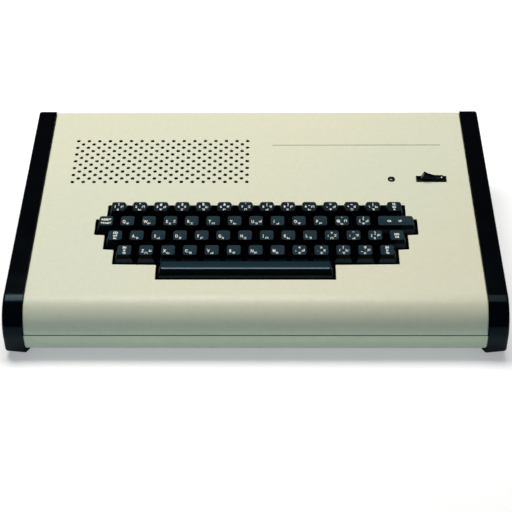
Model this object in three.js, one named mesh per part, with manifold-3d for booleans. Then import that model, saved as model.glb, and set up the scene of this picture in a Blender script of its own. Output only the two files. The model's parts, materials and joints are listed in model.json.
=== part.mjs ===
// Vintage home computer: a wedge-shaped case with its keyboard in the sloping top, two end cheeks,
// a perforated grille over the loudspeaker, a power lamp and a power rocker.
// Millimetres, +Z up, +X to the user's right, +Y to the back. The origin lies on the table,
// under the middle of the case.
import * as THREE from "three";
import { mergeVertices } from "three/addons/utils/BufferGeometryUtils.js";
import Module from "manifold-3d";

const wasm = await Module();
wasm.setup();

const { degToRad } = THREE.MathUtils;
const quarterTurn = degToRad(90);
const halfTurn = degToRad(180);

// Gaps
const clearance = 0.3; // between neighbouring pieces
const cutOverrun = 1; // how far a cutter runs past what it cuts

// Case, from the side
const caseDepth = 278;
const panelWidth = 393;
const panelSlope = degToRad(7.5);
const noseRadius = 28;
const noseHeight = 20.5; // centre of the nose above the cheeks' underside
const noseDraft = degToRad(6.6); // lean of the front face under the nose
const backRadius = 5;
const footCornerRadius = 3;
const leastRadius = 0.4;
const cheekLift = 3; // cheeks' underside above the table
const noseSteps = 10;
const cornerSteps = 3;

// End cheeks
const cheekWidth = 17.2;
const cheekProud = 1.2; // how far they stand out from the cover's surface
const cheekWall = 3;
const cheekEdgeRadius = 2.5;
const cheekFootRise = 2.4; // how much higher the underside lies at the outer edge
const cheekEdgeSteps = 2;
const cheekRibCount = 4;
const cheekRibWidth = 2.4;

// Top cover
const coverWall = 2;
const seamHeight = 24; // middle of the front seam above the table
const seamGap = 0.8;
const backDrop = 14; // how far the cover turns down at the back
const endFlangeDepth = 12;

// Bottom tray
const trayLift = 5.4; // tray's underside above the cheeks' underside
const trayWall = 2;
const trayCornerRadius = 4;
const tongueWall = 1.6;
const tongueRise = 6; // how far the tongue stands up behind the seam
const trayEndHeight = 9;
const trayBackLip = 10;
const footSize = 16;
const footInset = 26;
const footSides = 12;
const ventCount = 9;
const ventPitch = 11;
const ventWidth = 3.2;
const ventLength = 34;
const trayVentSetback = 44; // centre of the underside's vents, from the back of the case
const trayVentRight = 20;

// Keyboard on the sloping panel; shares are of the key pitch
const keyPitch = 19.05;
const keyboardUp = 75.2; // keyboard's origin, up the slope from the nose
const firstRowShare = 1.5; // from the origin back to the first row's middle
const cutMargin = 1; // opening in the cover round the keys
const keyGap = 1;
const keyTop = 7.6; // key tops above the panel
const keyBase = -2.4; // lower edge of the caps
const keyTravel = 4;
const keyLanding = 1; // room left under a pressed key
const keyBaseCorner = 1.1;
const keyTopWidth = 12.2;
const keyTopDepth = 12.4;
const keyTopCorner = 2.2;
const keyTopBack = 0.7; // how far the tops lie behind the middle of their bases
const keyDish = 0.9;
const dishShare = 0.55; // floor of the dish over the key top
const barTopDepth = 10.4;
const barCrown = 0.7;
const stemSize = 5.6;
const stemLength = 12.6; // below the cap
const barStemShare = 3; // from the bar's middle to its outer stems
const keyRows = [
  ["1", "2", "3", "4", "5", "6", "7", "8", "9", "0", "", "", "", "clear"],
  ["reset", "q", "w", "e", "r", "t", "y", "u", "i", "o", "p", "", "", "return"],
  ["control", "a", "s", "d", "f", "g", "h", "j", "k", "l", "", "", "", "mode"],
  ["shift_left", "z", "x", "c", "v", "b", "n", "m", "", "", "", "", "shift_right"],
  ["space"],
];
const rowStartShares = [-6.5, -7, -6.5, -6, -0.5]; // middle of each row's first key
const keySpanShares = { return: 2, space: 8 }; // every other key is one pitch wide

// Keyboard frame
const framePlate = 2.5;
const frameMargin = 5; // round the opening in the cover
const railDepth = 13; // the row of switch housings under each row of keys
const contactBoard = 1.6;
const contactMargin = 2.5; // of the contact board round the rails
const frameEar = 9; // posts' distance from the field of keys
const framePad = 14;
const framePostSides = 8;
const framePostSpread = 45;
const framePostRadius = 3.4;

// Grille
const grilleColumns = 17;
const grilleRows = 13;
const holePitchX = 10.1;
const holePitchY = 5.02;
const holeRadius = 1.75;
const holeSides = 6;
const grilleInset = 25.7; // first column's centres, from the cover's left end
const grilleFrontShare = 0.42; // of the panel's free length behind the keys, what lies before it

// Loudspeaker
const speakerRadius = 33;
const speakerRim = 3;
const speakerRimHeight = 2.2;
const coneDepth = 11;
const coneThroatRadius = 11;
const basketThickness = 2;
const magnetRadius = 18;
const magnetHeight = 10;
const speakerSides = 16;
const domeHeight = 3;

// Power rocker and its housing
const switchInset = 35.4; // its middle, from the cover's right end
const switchSetback = 3.1; // its middle, up the panel from the grille's front row
const bezelWidth = 28;
const bezelDepth = 7;
const bezelHeight = 1.2;
const bezelEdge = 0.5;
const rockerDepth = 4.6;
const pivotDrop = 2.25; // rocker's pivot below the panel
const rockerThrow = degToRad(28);
const tipReach = 9; // rocker's tips from the pivot, when it is level
const tipRise = 8;
const topSag = 2.2;
const rockerFoot = 10.5; // lower ends of its end faces
const rockerFootRise = 0.75;
const hubRadius = 3.4;
const pinRadius = 1;
const pinLength = 0.9;
const rockerSteps = 8;
const switchBodyWidth = 25.6;
const switchBodyDepth = 6.6;
const switchBodyHeight = 19;
const pinSides = 8;
const tabWidth = 4.8;
const tabLength = 7;
const tabThickness = 0.8;
const tabPitch = 8;

// Power lamp
const lampSpacing = 36.7; // its middle, from the switch's middle
const lampSetback = 3.1; // its middle, up the panel from the grille's front row
const lampFlangeRadius = 3.4;
const lampFlangeHeight = 0.8;
const lampBodyRadius = 2.5;
const lampBodyLength = 13;
const lensRadius = 2.2;
const lensRise = 0.8;
const lampSides = 12;

// Rear panel and its sockets; places are seen from the front
const rearPanelWall = 2;
const rearSocketHeight = 37; // above the table
const flangeThickness = 1.6;
const rearVentCount = 10;
const rearVentPitch = 9;
const rearVentWidth = 3;
const rearVentHeight = 22;
const rearVentRight = -60;

const inletInset = 36.5; // its middle, from the cover's right end
const inletWidth = 24;
const inletHeight = 16.5;
const inletCorner = 2;
const inletDepth = 15;
const inletWall = 2.2;
const inletFlange = 4;

const socketRights = { video_socket: 92, cassette_socket: 60 };
const socketRadius = 8;
const socketDepth = 14;
const socketFlangeWidth = 24;
const socketFlangeHeight = 22;
const grooveOuter = 6.9;
const grooveInner = 5.7;
const grooveDepth = 6;
const socketSides = 16;

const expansionRight = 0;
const expansionWidth = 62;
const expansionHeight = 9;
const expansionDepth = 9;
const expansionWall = 2;
const expansionCorner = 1;
const expansionFlange = 5;

// Main circuit board
const boardInset = 31.5; // from the cover's left end
const boardSpacing = 2; // between the board and the transformer's strap
const boardDepth = 196;
const boardThickness = 1.6;
const boardLift = 5; // posts between the tray and the board
const postRadius = 3.5;
const postSides = 8;
const boardPostInset = 9;
const chipWidth = 7;
const chipHeight = 4;
const chipLengths = [20, 20, 36, 20, 52, 20, 20];
const chipRows = 4;
const chipGap = 8; // between the board's edge and the first chip
const chipStep = 3; // between neighbours in a row

// Power transformer
const transformerInset = 78.5; // its middle, from the cover's right end
const transformerSetback = 44; // its middle, from the back of the case
const coreWidth = 58;
const coreDepth = 24;
const coreHeight = 48;
const coilReach = 13;
const coilInset = 11;
const mountThickness = 1.6;
const mountReach = 12;
const mountHoleRadius = 2.2;

// Colours, roughness and metalness of the finishes
const finishes = {
  creamPaint: { color: 0xe0dfc6, roughness: 0.62, metalness: 0 },
  blackPlastic: { color: 0x0c0d0f, roughness: 0.42, metalness: 0 },
  keyPlastic: { color: 0x14181b, roughness: 0.38, metalness: 0 },
  lampAmber: { color: 0x3a2413, roughness: 0.2, metalness: 0 },
  zincPlate: { color: 0xa9adb0, roughness: 0.4, metalness: 0.9 },
  circuitGreen: { color: 0x1f5a35, roughness: 0.5, metalness: 0 },
  speakerPaper: { color: 0x2c2a28, roughness: 0.9, metalness: 0 },
};
const materials = Object.fromEntries(
  Object.entries(finishes).map(([name, values]) => [name, new THREE.MeshStandardMaterial(values)]),
);

// Solids: closed geometries joined and cut

function toSolid(geometry) {
  const bare = geometry.clone();
  bare.deleteAttribute("normal");
  bare.deleteAttribute("uv");
  const merged = mergeVertices(bare);
  const corners = merged.index.array;
  const triVerts = [];
  for (let i = 0; i < corners.length; i += 3) {
    const triangle = corners.slice(i, i + 3);
    if (new Set(triangle).size === triangle.length) {
      triVerts.push(...triangle);
    }
  }
  return new wasm.Manifold(
    new wasm.Mesh({
      numProp: 3,
      vertProperties: merged.attributes.position.array,
      triVerts: new Uint32Array(triVerts),
    }),
  );
}

function toGeometry(solid) {
  const { vertProperties, triVerts } = solid.getMesh();
  const geometry = new THREE.BufferGeometry();
  geometry.setAttribute("position", new THREE.BufferAttribute(vertProperties, 3));
  geometry.setIndex(new THREE.BufferAttribute(triVerts, 1));
  geometry.computeVertexNormals();
  return geometry;
}

const union = (solids) => solids.reduce((whole, solid) => whole.add(solid));
const cutAway = (solid, cutters) => solid.subtract(union(cutters));

function makeMesh(name, solid, finish, parent) {
  const mesh = new THREE.Mesh(toGeometry(solid), materials[finish]);
  mesh.name = name;
  parent.add(mesh);
  return mesh;
}

// A block between two opposite corners.
function block(low, high) {
  const [a, b] = [new THREE.Vector3(...low), new THREE.Vector3(...high)];
  const size = b.clone().sub(a);
  const middle = a.add(b).multiplyScalar(1 / 2);
  return toSolid(new THREE.BoxGeometry(...size).translate(...middle));
}

// A block centred on x and y, from a lower to an upper height.
function blockOn(x, y, width, depth, low, high) {
  return block([x - width / 2, y - depth / 2, low], [x + width / 2, y + depth / 2, high]);
}

// An upright round post or hole, from a lower to an upper height.
function post(x, y, radius, low, high, sides) {
  const geometry = new THREE.CylinderGeometry(radius, radius, high - low, sides);
  return toSolid(geometry.rotateX(quarterTurn).translate(x, y, (low + high) / 2));
}

// Rings of points, all as long as each other, skinned into one closed body.
function loft(rings) {
  const count = rings[0].length;
  const points = rings.flat();
  const faces = [];
  for (let level = 0; level < rings.length - 1; level++) {
    for (let i = 0; i < count; i++) {
      const [a, b] = [level * count + i, level * count + ((i + 1) % count)];
      faces.push(a, b, b + count, a, b + count, a + count);
    }
  }
  const fan = (first, reverse) => {
    const middle = new THREE.Vector3();
    for (const point of points.slice(first, first + count)) {
      middle.addScaledVector(point, 1 / count);
    }
    points.push(middle);
    for (let i = 0; i < count; i++) {
      const [a, b] = [first + i, first + ((i + 1) % count)];
      faces.push(...(reverse ? [b, a] : [a, b]), points.length - 1);
    }
  };
  const ringPoints = rings.length * count;
  fan(0, true);
  fan(ringPoints - count, false);
  const geometry = new THREE.BufferGeometry().setFromPoints(points);
  return toSolid(geometry.setIndex(faces));
}

// Case outline from the side

const yFront = -caseDepth / 2;
const yBack = caseDepth / 2;
const coverLeft = -panelWidth / 2;
const coverRight = panelWidth / 2;
const noseCentre = new THREE.Vector2(yFront + noseRadius, cheekLift + noseHeight);

// Height of the sloping surface that lies an inset inside the cheeks' outline.
function slopeHeight(y, inset) {
  const rise = (noseRadius - inset) / Math.cos(panelSlope);
  return noseCentre.y + rise + (y - noseCentre.x) * Math.tan(panelSlope);
}

// Where the leaning front face lies at a height, for an inset.
function frontFace(height, inset) {
  const radius = noseRadius - inset;
  const drop = noseCentre.y - radius * Math.sin(noseDraft) - height;
  return noseCentre.x - radius * Math.cos(noseDraft) + drop * Math.tan(noseDraft);
}

function arcPoints(y, z, radius, start, end, steps) {
  return Array.from({ length: steps + 1 }, (_, i) => {
    const angle = start + ((end - start) * i) / steps;
    return new THREE.Vector2(y + radius * Math.cos(angle), z + radius * Math.sin(angle));
  });
}

// The side view as a closed outline: its first coordinate is depth, its second is height.
function outlinePoints(inset, bottom) {
  const nose = noseRadius - inset;
  const foot = Math.max(footCornerRadius - inset, leastRadius);
  const back = Math.max(backRadius - inset, leastRadius);
  const footY = frontFace(bottom + foot, inset) + foot / Math.cos(noseDraft);
  const backY = yBack - inset - back;
  const backZ = slopeHeight(backY, inset) - back / Math.cos(panelSlope);
  const upright = quarterTurn + panelSlope;
  return [
    ...arcPoints(yBack - inset - foot, bottom + foot, foot, -quarterTurn, 0, cornerSteps),
    ...arcPoints(backY, backZ, back, 0, upright, cornerSteps),
    ...arcPoints(noseCentre.x, noseCentre.y, nose, upright, halfTurn + noseDraft, noseSteps),
    ...arcPoints(footY, bottom + foot, foot, halfTurn + noseDraft, halfTurn + quarterTurn, cornerSteps),
  ];
}

// The case outline carried across the width, from a left to a right limit.
function caseSlab(inset, bottom, left, right) {
  const outline = outlinePoints(inset, bottom);
  return loft([left, right].map((x) => outline.map((p) => new THREE.Vector3(x, p.x, p.y))));
}

// An outline of x and z, carried from the back of the case to its front.
function extrudedAlongCase(outline) {
  const geometry = new THREE.ExtrudeGeometry(outline, {
    depth: caseDepth,
    bevelEnabled: false,
    curveSegments: cornerSteps,
  });
  return toSolid(geometry.rotateX(quarterTurn).translate(0, yBack, 0));
}

// The sloping panel's own frame: x to the right, y up the slope, z out of the panel

const coverNose = noseRadius - cheekProud;
const panel = new THREE.Group();
panel.position.set(
  0,
  noseCentre.x - coverNose * Math.sin(panelSlope) + keyboardUp * Math.cos(panelSlope),
  noseCentre.y + coverNose * Math.cos(panelSlope) + keyboardUp * Math.sin(panelSlope),
);
panel.rotation.x = panelSlope;
panel.updateMatrix();

// A solid of the case as it lies in the panel's frame.
function inPanelFrame(solid) {
  const toPanel = panel.matrix.clone().invert();
  return toSolid(toGeometry(solid).applyMatrix4(toPanel));
}

// Rings and turned shapes for the smaller pieces

// A rectangle with cut corners at a height, as a ring for a loft.
function cutCornerRing(width, depth, corner, yMiddle, height) {
  const [w, d] = [width / 2, depth / 2];
  const quarter = [[w, d - corner], [w - corner, d]];
  const half = [...quarter, ...quarter.map(([x, y]) => [-x, y]).reverse()];
  const whole = [...half, ...half.map(([x, y]) => [-x, -y])];
  return whole.map(([x, y]) => new THREE.Vector3(x, y + yMiddle, height));
}

// A profile of radii and heights, turned about the z axis, from its lower to its upper end.
function revolve(profile, sides) {
  const points = profile.map(([radius, height]) => new THREE.Vector2(radius, height));
  return toSolid(new THREE.LatheGeometry(points, sides).rotateX(quarterTurn));
}

// Keys

const keyRowsLaidOut = keyRows.map((names, row) => {
  let place = rowStartShares[row];
  return names.map((name, i) => {
    const widthShare = keySpanShares[name] ?? 1;
    if (i > 0) {
      place += (widthShare + 1) / 2;
    }
    const [x, y] = [place * keyPitch, (firstRowShare - row) * keyPitch];
    return { name, widthShare, x, y, width: widthShare * keyPitch };
  });
});
const keys = keyRowsLaidOut.flat();

// A wide bar stands on three stems, every other key on one.
const isBar = (widthShare) => widthShare === keySpanShares.space;
const barStemSpread = barStemShare * keyPitch;
const stemOffsets = (widthShare) => (isBar(widthShare) ? [-barStemSpread, 0, barStemSpread] : [0]);

function keySolid(widthShare) {
  const spread = (widthShare - 1) * keyPitch;
  const base = keyPitch - keyGap;
  const topWidth = spread + keyTopWidth;
  const topDepth = isBar(widthShare) ? barTopDepth : keyTopDepth;
  const floorHeight = keyTop + (isBar(widthShare) ? barCrown : -keyDish);
  const floorWidth = topWidth - (1 - dishShare) * keyTopWidth;
  const floorCorner = keyTopCorner * dishShare;
  const cap = loft([
    cutCornerRing(spread + base, base, keyBaseCorner, 0, keyBase),
    cutCornerRing(topWidth, topDepth, keyTopCorner, keyTopBack, keyTop),
    cutCornerRing(floorWidth, topDepth * dishShare, floorCorner, keyTopBack, floorHeight),
  ]);
  const stems = stemOffsets(widthShare).map((x) =>
    blockOn(x, 0, stemSize, stemSize, keyBase - stemLength, (keyBase + keyTop) / 2),
  );
  return union([cap, ...stems]);
}

const keySolids = new Map(keys.map((key) => [key.widthShare, keySolid(key.widthShare)]));
for (const key of keys.filter((each) => each.name)) {
  const mesh = makeMesh(`key_${key.name}`, keySolids.get(key.widthShare), "keyPlastic", panel);
  mesh.position.set(key.x, key.y, 0);
}

// Left and right limits of a row.
function rowEnds(row) {
  const [first, last] = [row[0], row[row.length - 1]];
  return [first.x - first.width / 2, last.x + last.width / 2];
}

// The stepped field of the keys, a block for each row, with a margin all round.
function keyField(margin, low, high) {
  const blocks = keyRowsLaidOut.map((row) => {
    const [left, right] = rowEnds(row);
    const reach = keyPitch / 2 + margin;
    return block([left - margin, row[0].y - reach, low], [right + margin, row[0].y + reach, high]);
  });
  return union(blocks);
}

// Keyboard frame: a plate with a rail of switch housings under each row, on a contact board, hung
// from the cover by posts. Keys without a name of their own are one piece with it.

const frameTop = keyBase - keyTravel - keyLanding;
const housingTop = frameTop - framePlate;
const boreFloor = keyBase - stemLength - keyTravel - keyLanding;
const fieldHalfWidth = Math.max(...keys.map((key) => key.x + key.width / 2));
const fieldBack = keys[0].y + keyPitch / 2;
const bar = keys[keys.length - 1];
const fieldFront = bar.y - keyPitch / 2;
const sides = [-1, 1];
const framePosts = [
  ...sides.map((side) => [side * (fieldHalfWidth + frameEar), 0]),
  ...sides.map((side) => [side * framePostSpread, fieldBack + frameEar]),
  ...sides.map((side) => [bar.x + side * framePostSpread, fieldFront - frameEar]),
];
const stemPlaces = (key) => stemOffsets(key.widthShare).map((x) => [key.x + x, key.y]);
const boreSize = stemSize + 2 * clearance;

const frameParts = [
  keyField(frameMargin, housingTop, frameTop),
  keyField(contactMargin, boreFloor - contactBoard, boreFloor),
  ...framePosts.map(([x, y]) => blockOn(x, y, framePad, framePad, housingTop, frameTop)),
  ...framePosts.map(([x, y]) =>
    post(x, y, framePostRadius, housingTop, -coverWall - clearance, framePostSides),
  ),
  ...keyRowsLaidOut.map((row) => {
    const [left, right] = rowEnds(row);
    const [low, high] = [boreFloor - contactBoard / 2, housingTop + framePlate / 2];
    return blockOn((left + right) / 2, row[0].y, right - left, railDepth, low, high);
  }),
];
const bores = keys
  .filter((key) => key.name)
  .flatMap(stemPlaces)
  .map(([x, y]) => blockOn(x, y, boreSize, boreSize, boreFloor, frameTop + cutOverrun));
const fixedKeys = keys
  .filter((key) => !key.name)
  .map((key) => toSolid(toGeometry(keySolids.get(key.widthShare)).translate(key.x, key.y, 0)));
const frameSolid = union([cutAway(union(frameParts), bores), ...fixedKeys]);
makeMesh("keyboard_frame", frameSolid, "keyPlastic", panel);

// Grille holes: every second row is shifted by half a pitch and has one hole fewer

const grilleLeft = coverLeft + grilleInset;
const grilleDepth = (grilleRows - 1) * holePitchY;
const panelBack = (yBack - cheekProud - panel.position.y) / Math.cos(panelSlope);
const grilleFront = fieldBack + grilleFrontShare * (panelBack - fieldBack - grilleDepth);
const switchRight = coverRight - switchInset;
const switchUp = grilleFront + switchSetback;
const lampRight = switchRight - lampSpacing;
const lampUp = grilleFront + lampSetback;

function grilleHoles() {
  const holes = [];
  for (let row = 0; row < grilleRows; row++) {
    const isShifted = row % 2 === 1;
    const count = grilleColumns - (isShifted ? 1 : 0);
    for (let i = 0; i < count; i++) {
      const x = grilleLeft + (i + (isShifted ? 1 / 2 : 0)) * holePitchX;
      const y = grilleFront + row * holePitchY;
      holes.push(post(x, y, holeRadius, -coverWall - cutOverrun, cutOverrun, holeSides));
    }
  }
  return holes;
}

// Top cover: a shell open at the bottom and closed at each end by an inward flange

const trayBottom = cheekLift + trayLift;
const trayFloor = trayBottom + trayWall;
const coverInset = cheekProud + coverWall;
const backEdge = slopeHeight(yBack - cheekProud, cheekProud) - backDrop;

function coverSolid() {
  const skin = caseSlab(cheekProud, trayBottom, coverLeft, coverRight);
  const room = caseSlab(coverInset, trayFloor, coverLeft + coverWall, coverRight - coverWall);
  const flangeInset = cheekProud + endFlangeDepth;
  const ends = caseSlab(flangeInset, trayFloor, coverLeft - cutOverrun, coverRight + cutOverrun);
  const below = [
    block([-caseDepth, -caseDepth, -cutOverrun], [caseDepth, caseDepth, seamHeight + seamGap / 2]),
    block([-caseDepth, yBack - flangeInset - cutOverrun, 0], [caseDepth, caseDepth, backEdge]),
  ];
  const throughPanel = union([
    keyField(cutMargin, -coverWall - cutOverrun, cutOverrun),
    blockOn(
      switchRight,
      switchUp,
      switchBodyWidth + 2 * clearance,
      switchBodyDepth + 2 * clearance,
      -coverWall - cutOverrun,
      cutOverrun,
    ),
    post(lampRight, lampUp, lampBodyRadius + clearance, -coverWall - cutOverrun, cutOverrun, lampSides),
    ...grilleHoles(),
  ]);
  const shell = cutAway(skin, [room, ends, ...below]);
  return inPanelFrame(shell).subtract(throughPanel);
}

const computer = new THREE.Group();
computer.add(panel);
makeMesh("top_cover", coverSolid(), "creamPaint", panel);

// Bottom tray: a pan with a front lip, a tongue behind the seam, low ends, vents, posts and feet

const rearFace = yBack - coverInset - clearance;
const trayEnvelope = () => {
  const radius = trayCornerRadius;
  const right = coverRight - radius;
  const outline = new THREE.Shape();
  outline.moveTo(coverLeft, seamHeight);
  outline.absarc(-right, trayBottom + radius, radius, -halfTurn, -quarterTurn, false);
  outline.absarc(right, trayBottom + radius, radius, -quarterTurn, 0, false);
  outline.lineTo(coverRight, seamHeight);
  return extrudedAlongCase(outline);
};

const footPlaces = sides.flatMap((side) => [
  [side * (coverRight - footInset), yFront + footInset],
  [side * (coverRight - footInset), yBack - footInset],
]);
const transformerX = coverRight - transformerInset;
const boardLeft = coverLeft + boardInset;
const boardRight = transformerX - coreWidth / 2 - mountReach - boardSpacing;
const boardPostPlaces = [boardLeft + boardPostInset, boardRight - boardPostInset].flatMap((x) =>
  [-1, 0, 1].map((step) => [x, step * (boardDepth / 2 - boardPostInset)]),
);

function tongueSolid() {
  const inset = coverInset + clearance;
  const reach = coverRight - coverWall - clearance;
  const outer = caseSlab(inset, trayFloor - trayWall / 2, -reach, reach);
  const inner = caseSlab(inset + tongueWall, trayFloor - trayWall / 4, -caseDepth, caseDepth);
  const wall = outer.subtract(inner);
  const low = [-caseDepth, yFront, trayBottom];
  return wall.intersect(block(low, [caseDepth, noseCentre.x, seamHeight + tongueRise]));
}

function traySolid() {
  const shell = cutAway(caseSlab(cheekProud, trayBottom, coverLeft, coverRight), [
    caseSlab(coverInset, trayFloor, coverLeft + coverWall, coverRight - coverWall),
  ]);
  const lipTop = seamHeight - seamGap / 2;
  const endTop = trayBottom + trayEndHeight;
  const endBack = rearFace - rearPanelWall - clearance;
  const backLip = trayBottom + trayBackLip;
  const pan = cutAway(shell, [
    block([-caseDepth, -caseDepth, lipTop], [caseDepth, caseDepth, caseDepth]),
    block([-caseDepth, yFront + noseRadius, endTop], [caseDepth, 0, caseDepth]),
    block([-caseDepth, -cutOverrun, Math.min(endTop, backLip)], [caseDepth, endBack, caseDepth]),
    block([-caseDepth, endBack, backLip], [caseDepth, caseDepth, caseDepth]),
    ...sides.map((side) => {
      const [near, far] = [coverRight - coverWall - cutOverrun, caseDepth];
      const [left, right] = side > 0 ? [near, far] : [-far, -near];
      return block([left, endBack, trayBottom + trayCornerRadius], [right, caseDepth, caseDepth]);
    }),
  ]);
  const [low, high] = [trayBottom - cutOverrun, trayFloor + cutOverrun];
  const vents = [];
  for (const side of sides) {
    for (let i = 0; i < ventCount; i++) {
      const x = side * (trayVentRight + i * ventPitch);
      vents.push(blockOn(x, yBack - trayVentSetback, ventWidth, ventLength, low, high));
    }
  }
  const middle = trayBottom + trayWall / 2;
  const posts = boardPostPlaces.map(([x, y]) =>
    post(x, y, postRadius, middle, trayFloor + boardLift, postSides),
  );
  const feet = footPlaces.map(([x, y]) => post(x, y, footSize / 2, 0, middle, footSides));
  const rounded = cutAway(pan, vents).intersect(trayEnvelope());
  return union([rounded, tongueSolid(), ...posts, ...feet]);
}

makeMesh("bottom_tray", traySolid(), "creamPaint", computer);

// End cheeks: hollow from the inside, ribbed, with a ledge that carries the tray's rounded edge

function cheekSolid() {
  const inner = coverRight + clearance;
  const outer = inner + cheekWidth;
  const rings = [[0, inner]];
  for (let i = 0; i <= cheekEdgeSteps; i++) {
    const angle = (quarterTurn * i) / cheekEdgeSteps;
    const inset = cheekEdgeRadius * (1 - Math.cos(angle));
    rings.push([inset, outer - cheekEdgeRadius * (1 - Math.sin(angle))]);
  }
  const body = loft(
    rings.map(([inset, x]) => {
      const underside = cheekLift + (cheekFootRise * (x - inner)) / cheekWidth + inset;
      return outlinePoints(inset, underside).map((p) => new THREE.Vector3(x, p.x, p.y));
    }),
  );
  const pocketFloor = outer - cheekWall;
  const pocketBottom = cheekLift + cheekFootRise + cheekWall;
  const pocket = caseSlab(cheekWall, pocketBottom, inner - cutOverrun, pocketFloor);
  const ribs = [];
  for (let i = 1; i <= cheekRibCount; i++) {
    const y = yFront + (caseDepth * i) / (cheekRibCount + 1);
    const low = [inner, y - cheekRibWidth / 2, 0];
    ribs.push(block(low, [outer, y + cheekRibWidth / 2, caseDepth]));
  }
  return union([body.subtract(cutAway(pocket, ribs)), ledgeSolid(inner)]);
}

// The ledge runs in under the tray; its top is hollow, round the tray's edge.
function ledgeSolid(inner) {
  const radius = trayCornerRadius + clearance;
  const reach = inner - radius;
  const outline = new THREE.Shape();
  outline.moveTo(inner + cheekWall / 2, cheekLift);
  outline.lineTo(inner + cheekWall / 2, trayBottom + trayCornerRadius);
  outline.absarc(reach, trayBottom + trayCornerRadius, radius, 0, -quarterTurn, true);
  outline.lineTo(inner, cheekLift);
  const rail = extrudedAlongCase(outline);
  return rail.intersect(caseSlab(cheekProud, cheekLift, reach - cutOverrun, inner + cheekWall));
}

makeMesh("right_end_cheek", cheekSolid(), "blackPlastic", computer);
const leftCheek = makeMesh("left_end_cheek", cheekSolid(), "blackPlastic", computer);
leftCheek.scale.x = -1;

// Loudspeaker, face up under the grille

const speakerBottom = -coneDepth - basketThickness - magnetHeight;
const speaker = makeMesh(
  "loudspeaker",
  revolve(
    [
      [0, speakerBottom],
      [magnetRadius, speakerBottom],
      [magnetRadius, speakerBottom + magnetHeight],
      [speakerRadius - speakerRim, -speakerRimHeight],
      [speakerRadius, -speakerRimHeight],
      [speakerRadius, 0],
      [speakerRadius - speakerRim, 0],
      [coneThroatRadius, -coneDepth],
      [coneThroatRadius / 2, -coneDepth + domeHeight],
      [0, -coneDepth + domeHeight],
    ],
    speakerSides,
  ),
  "speakerPaper",
  panel,
);
speaker.position.set(
  grilleLeft + ((grilleColumns - 1) / 2) * holePitchX,
  grilleFront + grilleDepth / 2,
  -coverWall - clearance,
);

// Power rocker and its housing

const cavityWidth = 2 * (Math.hypot(tipReach, tipRise) + clearance);
const cavityDepth = rockerDepth + 2 * clearance;
const cavityFloor = -pivotDrop - hubRadius - 2 * clearance;
const bezelBottom = clearance;

function housingSolid() {
  const top = bezelBottom + bezelHeight;
  const bezel = loft([
    cutCornerRing(bezelWidth, bezelDepth, bezelEdge, 0, bezelBottom),
    cutCornerRing(bezelWidth, bezelDepth, bezelEdge, 0, top - bezelEdge),
    cutCornerRing(bezelWidth - bezelEdge, bezelDepth - bezelEdge, bezelEdge, 0, top),
  ]);
  const bodyTop = bezelBottom + bezelHeight / 2;
  const body = blockOn(0, 0, switchBodyWidth, switchBodyDepth, -switchBodyHeight, bodyTop);
  const [tabLow, tabHigh] = [-switchBodyHeight - tabLength, -switchBodyHeight / 2];
  const tabs = [-1, 0, 1].map((step) =>
    blockOn(step * tabPitch, 0, tabThickness, tabWidth, tabLow, tabHigh),
  );
  const cavity = blockOn(0, 0, cavityWidth, cavityDepth, cavityFloor, top + cutOverrun);
  const pinRoom = pinRadius + clearance;
  const pinReach = rockerDepth + 2 * (pinLength + clearance);
  const pinHoles = new THREE.CylinderGeometry(pinRoom, pinRoom, pinReach, pinSides);
  return cutAway(union([bezel, body, ...tabs]), [cavity, toSolid(pinHoles.translate(0, 0, -pivotDrop))]);
}

function rockerSolid() {
  const outline = new THREE.Shape();
  outline.moveTo(-tipReach, tipRise);
  outline.quadraticCurveTo(0, tipRise - 2 * topSag, tipReach, tipRise);
  outline.lineTo(rockerFoot, rockerFootRise);
  outline.absarc(0, 0, hubRadius, 0, -halfTurn, true);
  outline.lineTo(-rockerFoot, rockerFootRise);
  const geometry = new THREE.ExtrudeGeometry(outline, {
    depth: rockerDepth,
    bevelEnabled: false,
    curveSegments: rockerSteps,
  });
  const pin = new THREE.CylinderGeometry(pinRadius, pinRadius, rockerDepth + 2 * pinLength, pinSides);
  return union([toSolid(geometry.translate(0, 0, -rockerDepth / 2)), toSolid(pin.rotateX(quarterTurn))]);
}

const housing = makeMesh("rocker_housing", housingSolid(), "blackPlastic", panel);
housing.position.set(switchRight, switchUp, 0);
const rocker = makeMesh("power_rocker", rockerSolid(), "blackPlastic", panel);
rocker.position.set(switchRight, switchUp, -pivotDrop);
rocker.rotation.set(quarterTurn, 0, -rockerThrow / 2);

// Power lamp

const lampTop = clearance + lampFlangeHeight;
const lamp = makeMesh(
  "power_lamp",
  revolve(
    [
      [0, -lampBodyLength],
      [lampBodyRadius, -lampBodyLength],
      [lampBodyRadius, clearance],
      [lampFlangeRadius, clearance],
      [lampFlangeRadius, lampTop - clearance],
      [lensRadius + clearance, lampTop],
      [lensRadius, lampTop],
      [lensRadius * Math.SQRT1_2, lampTop + lensRise * Math.SQRT1_2],
      [0, lampTop + lensRise],
    ],
    lampSides,
  ),
  "lampAmber",
  panel,
);
lamp.position.set(lampRight, lampUp, 0);

// Rear panel and its sockets, in a frame with x to the right, y down and z out of the back

const rear = new THREE.Group();
rear.position.set(0, rearFace, rearSocketHeight);
rear.rotation.x = -quarterTurn;
computer.add(rear);

const inletRight = coverRight - inletInset;

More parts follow.
